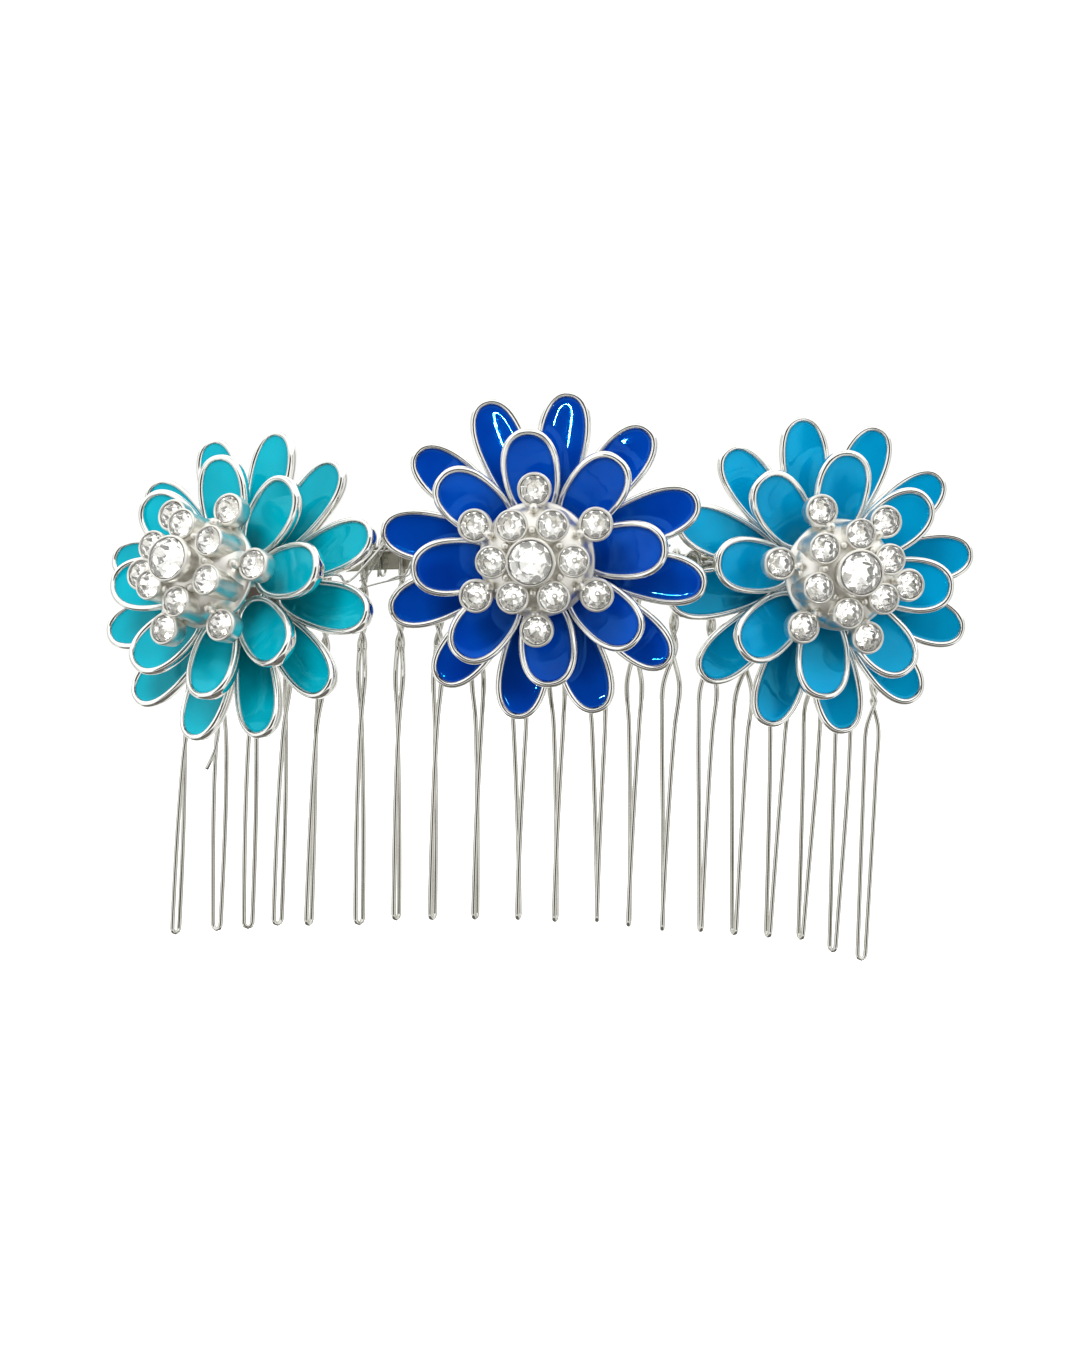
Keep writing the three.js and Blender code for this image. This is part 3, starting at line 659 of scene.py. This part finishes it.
def turned_piece(profile, steps=TURN_STEPS):
    """Turns a closed profile, or one that starts and ends on the axis, round Z."""
    bm = bmesh.new()
    verts = [bm.verts.new((radius, 0, rise)) for radius, rise in profile]
    edges = [bm.edges.new(pair) for pair in zip(verts, verts[1:])]
    if profile[0][0] > 0:
        edges.append(bm.edges.new((verts[-1], verts[0])))
    bmesh.ops.spin(bm, geom=verts + edges, cent=(0, 0, 0), axis=(0, 0, 1), dvec=(0, 0, 0),
                   angle=2 * math.pi, steps=steps, use_merge=True)
    bmesh.ops.remove_doubles(bm, verts=bm.verts, dist=1e-5)
    bmesh.ops.recalc_face_normals(bm, faces=bm.faces)
    return bm


def add_copy(target, pattern, stand=None):
    """Adds a placed copy of a pattern piece to the target."""
    copy = pattern.copy()
    bmesh.ops.transform(copy, matrix=stand or Matrix(), verts=copy.verts)
    carrier = bpy.data.meshes.new("copy")
    copy.to_mesh(carrier)
    copy.free()
    target.from_mesh(carrier)
    bpy.data.meshes.remove(carrier)


def around(radius, angle, rise=0):
    """A place at a radius and angle round a flower's axis."""
    return Vector((radius * math.cos(angle), radius * math.sin(angle), rise))


places = {name: flower_axes(name) for name in FLOWERS}
for name, first in FLOWERS.items():
    for level, layer in LAYERS.items():
        bm = turned_piece(layer["hub"])
        tray = raise_oval(layer, TRAY_SKIN)
        for i in range(layer["count"]):
            angle = math.radians(first[level]) - 2 * math.pi * i / layer["count"]
            add_copy(bm, tray, petal_stand(layer, angle))
        finish_piece(f"{name}_{level}_casting", bm, [plated_casting],
                     [f"{name}_{level}_petals"], place=places[name])

# ---------------------------------------------------------------- enamel
# Twenty pools of hard enamel in each flower, poured into the trays and fired. The
# surface sags in the middle and climbs the wall, so each pool is a shallow dish.
POOL_SKIN = [                  # inset and height, as for the tray
    (1.4, -0.77), (0.9, -0.75), (0.71, -0.66), (0.69, -0.45), (0.675, -0.1), (0.70, -0.115),
    (0.80, -0.135), (1.0, -0.145), (1.4, -0.15), (1.8, -0.15), (2.2, -0.15), (2.5, -0.15),
    (2.8, -0.15),
]
POOL_EDGE = -0.3               # the skin above this height is the open surface
SAG_ACROSS = 0.1
SAG_ALONG = 0.19
# Deep glaze, thin glaze, and the tint of its gloss.
ENAMEL_COLOURS = {
    "left": ("#008fa3", "#00a4b8", "#00d8e6"),
    "middle": ("#003295", "#0045b0", "#0080dc"),
    "right": ("#0080b2", "#0094c4", "#00cdf0"),
}
# Painted shade: distances from the flower's axis over which each petal's colour goes from darkened
# near the hub to its full colour. The darkening stands in for the shade that the inner petals and the
# setting cast on the petal roots, and partly for glaze poured thicker at the low end of each tray.
PAINTED_SHADE_REACH = {"outer": (6.0, 11.5), "inner": (4.0, 8.5)}
# the share of its colour that the painted shade leaves at the root of each petal
ROOT_PAINTED_SHADE = 0.5
CLOUD_WIDTH = 6
RIPPLE_WIDTH = 2.2
RIPPLE_DEPTH = 0.004


def enamel(name, deep, pale, gleam, place, painted_shade_reach):
    """Glass enamel: clouded colour, darkened towards the root of each petal by painted shade, under a
    wet-looking gloss.
    """
    made = bpy.data.materials.new(name)
    made.use_nodes = True
    tree = made.node_tree
    shader = tree.nodes["Principled BSDF"]
    shader.inputs["Roughness"].default_value = 0.02
    shader.inputs["IOR"].default_value = 1.75
    shader.inputs["Specular IOR Level"].default_value = 0.8
    shader.inputs["Specular Tint"].default_value = linear(gleam)
    shader.inputs["Coat Weight"].default_value = 0.03
    shader.inputs["Coat Roughness"].default_value = 0.01
    where = node(tree, "ShaderNodeTexCoord")
    cloud = node(tree, "ShaderNodeTexNoise", links={"Vector": where.outputs["Object"]},
                 inputs={"Scale": 1 / (CLOUD_WIDTH * MM), "Detail": 2.0})
    colour = node(tree, "ShaderNodeValToRGB", links={"Fac": cloud.outputs["Fac"]})
    ramp(colour, [(0.3, linear(deep)), (0.7, linear(pale))])
    # Painted shade: the colour is multiplied darker near the flower's axis, standing in for the shade
    # of the inner petals and the setting on each petal's root.
    to_flower = place.inverted()
    centred = node(tree, "ShaderNodeMapping", links={"Vector": where.outputs["Object"]}, inputs={
        "Location": to_flower.to_translation() * MM, "Rotation": to_flower.to_euler()})
    split = node(tree, "ShaderNodeSeparateXYZ", links={"Vector": centred.outputs["Vector"]})
    flat = node(tree, "ShaderNodeCombineXYZ",
                links={"X": split.outputs["X"], "Y": split.outputs["Y"]})
    reach = node(tree, "ShaderNodeVectorMath", {"operation": "LENGTH"}, {0: flat.outputs["Vector"]})
    painted_shade_fade = node(tree, "ShaderNodeMapRange", {"interpolation_type": "SMOOTHSTEP"},
                    {"Value": reach.outputs["Value"]},
                    {"From Min": painted_shade_reach[0] * MM, "From Max": painted_shade_reach[1] * MM,
                     "To Min": ROOT_PAINTED_SHADE})
    painted_shade_mix = node(tree, "ShaderNodeMix", {"data_type": "RGBA", "blend_type": "MULTIPLY"},
                  {MIX_A: colour.outputs["Color"], MIX_B: painted_shade_fade.outputs[0]},
                  {"Factor": 1.0})
    tree.links.new(painted_shade_mix.outputs[MIX_RESULT], shader.inputs["Base Color"])
    skin = node(tree, "ShaderNodeTexNoise", links={"Vector": where.outputs["Object"]},
                inputs={"Scale": 1 / (RIPPLE_WIDTH * MM), "Detail": 1.0})
    bump = node(tree, "ShaderNodeBump", links={"Height": skin.outputs["Fac"]},
                inputs={"Strength": 0.15, "Distance": RIPPLE_DEPTH * MM})
    tree.links.new(bump.outputs["Normal"], shader.inputs["Normal"])
    tree.links.new(bump.outputs["Normal"], shader.inputs["Coat Normal"])
    return made


for name, first in FLOWERS.items():
    for level, layer in LAYERS.items():
        glaze = enamel(f"fired_enamel_{name}_{level}", *ENAMEL_COLOURS[name],
                       places[name], PAINTED_SHADE_REACH[level])
        bm = bmesh.new()
        pool = raise_oval(layer, POOL_SKIN)
        half_length = petal_length(layer) / 2
        for v in pool.verts:
            if v.co.z > POOL_EDGE:
                v.co.z -= SAG_ACROSS * max(0, 1 - (2 * v.co.y / layer["width"]) ** 2)
                v.co.z -= SAG_ALONG * max(0, 1 - (v.co.x / half_length - 1) ** 2)
        for i in range(layer["count"]):
            angle = math.radians(first[level]) - 2 * math.pi * i / layer["count"]
            add_copy(bm, pool, petal_stand(layer, angle))
        pools = finish_piece(f"{name}_{level}_enamel", bm, [glaze],
                             place=places[name])
        glazed_pieces.objects.link(pools)

# ---------------------------------------------------------------- rivets
# A plated steel rivet runs through both castings and up to the setting; its
# domed head is on the back.
RIVET_PROFILE = [
    (0, 1.9), (0.8, 1.93), (1.45, 2.02), (1.85, 2.18), (2.0, 2.38), (1.95, 2.5), (1.0, 2.5),
    (1.0, 10.1), (0.9, 10.2), (0, 10.2),
]
SMALL_STEPS = 40               # round a rivet or a small cup
for name in FLOWERS:
    bm = turned_piece(RIVET_PROFILE, SMALL_STEPS)
    finish_piece(f"{name}_rivet_pin", bm, [plated_casting],
                 [f"{name}_rivet"], place=places[name])

# ---------------------------------------------------------------- settings
# One satin plated casting holds the crystals: a disc with a domed body, a tall cup in
# the middle, six cups round it, six more on short arms, and small grains between. It
# sits on the rivet, above the inner petals.
RING_COUNT = 6
RING_RADIUS = 4.15
OUTLYING_RADIUS = 7.2
DISC_PROFILE = [
    (0, 10.5), (5.3, 10.5), (5.75, 10.62), (6.0, 10.85), (6.05, 11.1), (5.9, 11.35), (5.5, 11.5),
    (5.45, 12.4), (5.2, 13.3), (4.7, 14.0), (3.9, 14.5), (3.0, 14.95), (0, 15.2),
]
CENTRE_CUP = [
    (0, 11.0), (1.95, 11.0), (1.9, 13.5), (1.95, 15.0), (2.1, 16.0), (2.3, 16.6), (2.44, 17.1),
    (2.5, 17.6), (2.48, 17.86), (2.4, 18.0), (2.3, 18.02), (2.22, 17.94), (2.18, 17.5),
    (1.9, 16.7), (0, 16.6),
]
RING_CUP = [
    (0, 11.0), (1.62, 11.0), (1.58, 13.0), (1.57, 14.4), (1.6, 15.1), (1.66, 15.5), (1.7, 15.82),
    (1.67, 16.02), (1.6, 16.12), (1.52, 16.12), (1.46, 16.02), (1.44, 15.6), (1.1, 15.0), (0, 14.9),
]
OUTLYING_CUP = [
    (0, 11.0), (1.5, 11.0), (1.66, 11.2), (1.72, 11.8), (1.76, 12.4), (1.8, 12.75), (1.77, 12.96),
    (1.7, 13.1), (1.6, 13.14), (1.51, 13.08), (1.46, 12.92), (1.44, 12.6), (1.1, 11.9), (0, 11.85),
]
GRAIN = [
    (0, 11.0), (0.46, 11.0), (0.44, 13.4), (0.5, 13.7), (0.5, 13.95), (0.38, 14.25),
    (0.2, 14.37), (0, 14.4),
]
GRAIN_RADIUS = 5.35
INNER_GRAIN = [
    (0, 12.0), (0.4, 12.0), (0.36, 15.0), (0.42, 15.5), (0.42, 15.75), (0.32, 16.0),
    (0.16, 16.1), (0, 16.12),
]
INNER_GRAIN_RADIUS = 3.15
GRAIN_STEPS = 20
ARM_START = 3.0
ARM_WIDTH = 1.2
ARM_THICKNESS = 1.0
ARM_HEIGHT = 11.6
ARM_ROUNDING = 0.3
# Zinc alloy, cast in a rubber mould and rhodium plated straight over the cast skin:
# a satin, faintly warm white that spreads its reflections.
satin_casting = metal("rhodium_plated_cast_skin", "#f5f3ec", 0.36, 0.6, 0.02, 0.08)

ring_cup = turned_piece(RING_CUP, SMALL_STEPS)
outlying_cup = turned_piece(OUTLYING_CUP, SMALL_STEPS)
grain = turned_piece(GRAIN, GRAIN_STEPS)
inner_grain = turned_piece(INNER_GRAIN, GRAIN_STEPS)
for name, first in FLOWERS.items():
    bm = turned_piece(DISC_PROFILE)
    add_copy(bm, turned_piece(CENTRE_CUP))
    for i in range(RING_COUNT):
        ring = math.radians(first["ring"]) - 2 * math.pi * i / RING_COUNT
        between = ring - math.pi / RING_COUNT
        add_copy(bm, ring_cup, Matrix.Translation(around(RING_RADIUS, ring)))
        add_copy(bm, outlying_cup, Matrix.Translation(around(OUTLYING_RADIUS, between)))
        add_copy(bm, grain, Matrix.Translation(around(GRAIN_RADIUS, between)))
        add_copy(bm, inner_grain, Matrix.Translation(around(INNER_GRAIN_RADIUS, between)))
        arm = bmesh.ops.create_cube(bm, size=1)["verts"]
        length = OUTLYING_RADIUS - ARM_START
        bmesh.ops.scale(bm, verts=arm, vec=(length, ARM_WIDTH, ARM_THICKNESS))
        bmesh.ops.translate(bm, verts=arm, vec=(ARM_START + length / 2, 0, ARM_HEIGHT))
        bmesh.ops.rotate(bm, verts=arm, cent=(0, 0, 0), matrix=Matrix.Rotation(between, 3, "Z"))
        arm_edges = list({e for v in arm for e in v.link_edges})
        bmesh.ops.bevel(bm, geom=arm_edges, offset=ARM_ROUNDING, offset_type="OFFSET",
                        affect="EDGES", segments=4, profile=0.5, material=-1)
    finish_piece(f"{name}_stone_setting", bm, [satin_casting],
                 [f"{name}_setting"], place=places[name])

# ---------------------------------------------------------------- crystals
# Machine-cut lead-glass stones with a silver foil on the back, glued in the cups.
# Each has a table, eight crown mains, eight stars, sixteen small facets round the
# girdle, and a pointed back of sixteen.
CRYSTAL_SIZES = {              # radius, and height of the girdle
    "centre": (2.16, 17.95),
    "ring": (1.42, 16.0),
    "outlying": (1.42, 13.0),
}
CRYSTAL_TURN = {"centre": 0.3, "ring": 0.7, "outlying": 0.5}    # radians on from stone to stone
FOILED_BELOW = -0.2            # faces that look further down than this are foiled
TABLE_SHARE = 0.56
CROWN_RISE = 0.34
BACK_DEPTH = 0.62
GIRDLE_FACET_TILT = 0.16       # steeper than the mains, in radians
STAR_FACET_TILT = 0.22         # flatter than the mains
LOWER_FACET_TILT = 0.12        # steeper than the facets at the point of the back
GRINDING = {"girdle": 0.995, "star": 0.985, "back": 0.97}    # how far in each row is ground
HAZE_WIDTH = 1.5

# Clear lead glass: colourless, with strong sparkle from its high index.
clear_crystal = bpy.data.materials.new("clear_lead_crystal")
clear_crystal.use_nodes = True
glass_tree = clear_crystal.node_tree
glass = glass_tree.nodes["Principled BSDF"]
glass.inputs["IOR"].default_value = 1.57
glass.inputs["Roughness"].default_value = 0.0
glass.inputs["Transmission Weight"].default_value = 1.0
glass_place = node(glass_tree, "ShaderNodeTexCoord")
glass_haze = node(glass_tree, "ShaderNodeTexNoise", links={"Vector": glass_place.outputs["Object"]},
                  inputs={"Scale": 1 / (HAZE_WIDTH * MM), "Detail": 1.0})
glass_tint = node(glass_tree, "ShaderNodeValToRGB", links={"Fac": glass_haze.outputs["Fac"]})
ramp(glass_tint, [(0.3, linear("#f4f5f6")), (0.7, linear("#ffffff"))])
glass_tree.links.new(glass_tint.outputs["Color"], glass.inputs["Base Color"])
# Vacuum-deposited silver foil on the stone's back: a hard mirror, faintly warm.
silver_foil = metal("silvered_foil_back", "#f6f5f1", 0.06, 1.0, 0.002, 0.03)
silver_foil.node_tree.nodes["Principled BSDF"].inputs["Metallic"].default_value = 0.8


def cut_facets(bm, count, offset, tilt, reach):
    """Grinds count flat facets round the stone; each is a plane at a distance from its middle."""
    for i in range(count):
        turn = 2 * math.pi * (i + offset) / count
        flat = math.sin(tilt)
        normal = Vector((flat * math.cos(turn), flat * math.sin(turn), math.cos(tilt)))
        everything = bm.verts[:] + bm.edges[:] + bm.faces[:]
        cut = bmesh.ops.bisect_plane(bm, geom=everything, dist=1e-6, plane_co=normal * reach,
                                     plane_no=normal, clear_outer=True)
        rim = [g for g in cut["geom_cut"] if isinstance(g, bmesh.types.BMEdge)]
        if rim:
            bmesh.ops.contextual_create(bm, geom=rim)


def cut_stone():
    """A round brilliant of radius 1 with its girdle at Z = 0."""
    bm = bmesh.new()
    bmesh.ops.create_cone(bm, cap_ends=True, segments=32, radius1=1, radius2=1, depth=3)
    mains = math.atan2(CROWN_RISE, 1 - TABLE_SHARE)
    girdle = mains + GIRDLE_FACET_TILT
    star = mains - STAR_FACET_TILT
    table_edge_reach = TABLE_SHARE * math.sin(star) + CROWN_RISE * math.cos(star)
    cut_facets(bm, 1, 0, 0, CROWN_RISE)
    cut_facets(bm, 8, 0, mains, math.sin(mains))
    cut_facets(bm, 16, 0.5, girdle, GRINDING["girdle"] * math.sin(girdle))
    cut_facets(bm, 8, 0.5, star, GRINDING["star"] * table_edge_reach)
    back = math.atan2(BACK_DEPTH, 1.0)
    lower = back + LOWER_FACET_TILT
    cut_facets(bm, 8, 0, math.pi - back, GRINDING["back"] * math.sin(back))
    cut_facets(bm, 8, 0.5, math.pi - back - LOWER_FACET_TILT, GRINDING["back"] * math.sin(lower))
    for face in bm.faces:
        face.material_index = 1 if face.normal.z < FOILED_BELOW else 0
    bmesh.ops.recalc_face_normals(bm, faces=bm.faces)
    return bm


def seat(size, at, turn):
    """Places the cut stone, sized, in its cup."""
    radius, rise = CRYSTAL_SIZES[size]
    return (Matrix.Translation(at + Vector((0, 0, rise))) @ Matrix.Rotation(turn, 4, "Z")
            @ Matrix.Scale(radius, 4))


cut = cut_stone()
for name, first in FLOWERS.items():
    bm = bmesh.new()
    add_copy(bm, cut, seat("centre", Vector(), CRYSTAL_TURN["centre"]))
    finish_piece(f"{name}_centre_crystal", bm, [clear_crystal, silver_foil],
                 [f"{name}_centre_stone"], smooth=False, place=places[name])
    outlying = bmesh.new()
    for i in range(RING_COUNT):
        ring = math.radians(first["ring"]) - 2 * math.pi * i / RING_COUNT
        bm = bmesh.new()
        turn = CRYSTAL_TURN["ring"] * i
        add_copy(bm, cut, seat("ring", around(RING_RADIUS, ring), turn))
        finish_piece(f"{name}_ring_crystal_{i + 1}", bm, [clear_crystal, silver_foil],
                     [f"{name}_ring_stone_{i + 1}"], smooth=False, place=places[name])
        between = ring - math.pi / RING_COUNT
        turn = CRYSTAL_TURN["outlying"] * i
        add_copy(outlying, cut, seat("outlying", around(OUTLYING_RADIUS, between), turn))
    finish_piece(f"{name}_outlying_crystals", outlying, [clear_crystal, silver_foil],
                 smooth=False, place=places[name])

# ---------------------------------------------------------------- lashing
# Fine silver-plated craft wire ties each flower down: two turns round the strip,
# up between two petals, round the hub between the layers, and back to the strip.
LASHING_WIRE = 0.3
LASHING_TURN_PITCH = 0.75
LASHING_CLEARANCE = 0.12
LASHING_TAIL = 0.5
LASHING_STEP = 0.25
LASHING_SIDES = 8
NOTCH_RADIUS = 13.2
UNDER_PETALS = 3.3
OVER_PETALS = 6.1
INWARD_DROP = 0.4
LOOP_RADIUS = 4.4
LOOP_HEIGHT = 5.4
LOOP_STEPS = 6
FLOWER_ALONG = {"left": -31.6, "middle": 0.8, "right": 31.3}
# Soft craft wire: bright, a little kinked from being pulled tight by hand.
craft_wire = metal("silver_plated_craft_wire", "#d9d9d4", 0.14, 0.5, 0.02, 0.12)


def lashing_turns(gap_along, side):
    """Knots of two turns round the strip in a gap between teeth, from the back."""
    forward = STRIP_THICKNESS / 2 + LASHING_CLEARANCE + LASHING_WIRE / 2
    rise = STRIP_HEIGHT / 2 + LASHING_CLEARANCE + LASHING_WIRE / 2
    knots = [beside_spine(gap_along, -side * LASHING_TURN_PITCH, -forward, -rise - LASHING_TAIL)]
    corners = [(-forward, -rise), (-forward, rise), (forward, rise), (forward, -rise)]
    for turn in range(2):
        for corner, (reach, up) in enumerate(corners):
            advance = turn + corner / len(corners) - 1
            knots.append(beside_spine(gap_along, side * LASHING_TURN_PITCH * advance, reach, up))
    return knots[:-1]


def nearest_gap(along):
    """The middle of the nearest gap between two teeth, along the spine."""
    last = (TOOTH_COUNT - 2) / 2
    return min(max(round(along / TOOTH_PITCH), -last), last) * TOOTH_PITCH


def up_notch(place, angle):
    """Up between two petals and in towards the hub."""
    route = [
        (NOTCH_RADIUS, UNDER_PETALS),
        (NOTCH_RADIUS, OVER_PETALS),
        ((NOTCH_RADIUS + LOOP_RADIUS) / 2, OVER_PETALS - INWARD_DROP),
    ]
    return [place @ around(radius, angle, rise) for radius, rise in route]


for name, first in FLOWERS.items():
    place = places[name]
    step = 2 * math.pi / LAYERS["outer"]["count"]
    notch = math.radians(first["outer"]) - step / 2
    left = notch + step * round((math.pi - notch) / step)
    right = notch + step * round(-notch / step)
    loop = []
    for i in range(LOOP_STEPS + 1):
        angle = left + (right + 2 * math.pi - left) * i / LOOP_STEPS
        loop.append(place @ around(LOOP_RADIUS, angle, LOOP_HEIGHT))
    along = FLOWER_ALONG[name]
    start = lashing_turns(nearest_gap(along - NOTCH_RADIUS), -1)
    finish = lashing_turns(nearest_gap(along + NOTCH_RADIUS), 1)[::-1]
    inwards = up_notch(place, left)
    outwards = up_notch(place, right)[::-1]
    knots = [*start, *inwards, *loop, *outwards, *finish]
    bm = bmesh.new()
    draw_wire(bm, smooth_path(knots, LASHING_STEP), LASHING_WIRE, LASHING_SIDES)
    finish_piece(f"{name}_lashing", bm, [craft_wire], [f"{name}_lashing_wire"])

# ---------------------------------------------------------------- loose wire ends
# The craft wire's cut ends: strands along and across the strip beside the middle
# flower, a curled end with two cut ends to its right, and a tail behind the left
# flower. Points are along the spine, forward and up.
FINE_STRAND = 0.17
LOOSE_END_STEP = 0.2
LOOSE_END_SIDES = 10
LOOSE_ENDS = {
    "upper_running_wire": (0.4, [
        (-23.0, 0.72, 1.0), (-20.0, 0.75, 1.15), (-17.0, 0.75, 1.1), (-14.0, 0.75, 1.2),
        (-11.0, 0.72, 1.15),
    ]),
    "lower_running_wire": (0.34, [
        (-23.0, 0.7, 0.5), (-20.0, 0.72, 0.7), (-17.0, 0.72, 0.62), (-14.0, 0.72, 0.75),
        (-11.0, 0.7, 0.6),
    ]),
    "crossing_strand": (FINE_STRAND, [
        (-21.6, 0.8, -3.8), (-20.0, 1.5, -3.55), (-17.1, 2.2, -3.0), (-14.3, 1.8, -2.3),
        (-13.9, 1.6, -1.5),
    ]),
    "left_knot_end": (FINE_STRAND, [
        (-19.3, 1.3, -2.5), (-18.8, 1.45, -2.2), (-17.8, 1.5, -0.7), (-17.1, 1.5, 0.5),
        (-16.5, 1.2, 1.6), (-16.3, 0.3, 1.9),
    ]),
    "left_knot_second_end": (FINE_STRAND, [
        (-19.7, 1.3, -2.6), (-19.2, 1.45, -2.3), (-18.3, 1.5, -0.7), (-17.7, 1.5, 0.5),
        (-17.2, 1.2, 1.6), (-17.0, 0.3, 1.9),
    ]),
    "middle_knot_end": (0.22, [
        (-16.4, 1.8, -2.8), (-15.4, 2.0, -2.4), (-14.5, 1.9, -2.15), (-14.2, 1.6, -1.5),
        (-14.0, 1.2, -0.6),
    ]),
    "curled_end": (0.5, [
        (15.5, 1.9, 0.0), (15.8, 2.0, 0.95), (16.35, 2.1, 1.45), (16.95, 2.0, 1.25),
        (17.3, 1.8, 0.45), (17.3, 1.5, -0.4),
    ]),
    "right_cut_end": (0.42, [
        (17.0, 1.7, 0.0), (17.6, 2.0, 0.25), (18.8, 2.1, 0.95), (19.9, 2.0, 1.65), (20.8, 1.5, 2.0),
    ]),
    "right_second_cut_end": (0.42, [
        (17.1, 1.6, -0.5), (17.9, 2.0, -0.25), (19.2, 2.1, 0.2), (20.2, 2.0, 0.5), (21.2, 1.6, 0.7),
    ]),
    "left_tail": (0.45, [
        (-36.6, 1.2, -13.0), (-36.1, 1.6, -14.2), (-35.9, 1.9, -15.2), (-35.85, 2.0, -17.2),
        (-36.0, 2.2, -19.2), (-36.5, 2.3, -20.5), (-37.1, 2.2, -21.4),
    ]),
}
for name, (thickness, knots) in LOOSE_ENDS.items():
    bm = bmesh.new()
    path = [beside_spine(along, 0, forward, rise) for along, forward, rise in knots]
    draw_wire(bm, smooth_path(path, LOOSE_END_STEP), thickness, LOOSE_END_SIDES)
    finish_piece(name, bm, [craft_wire])
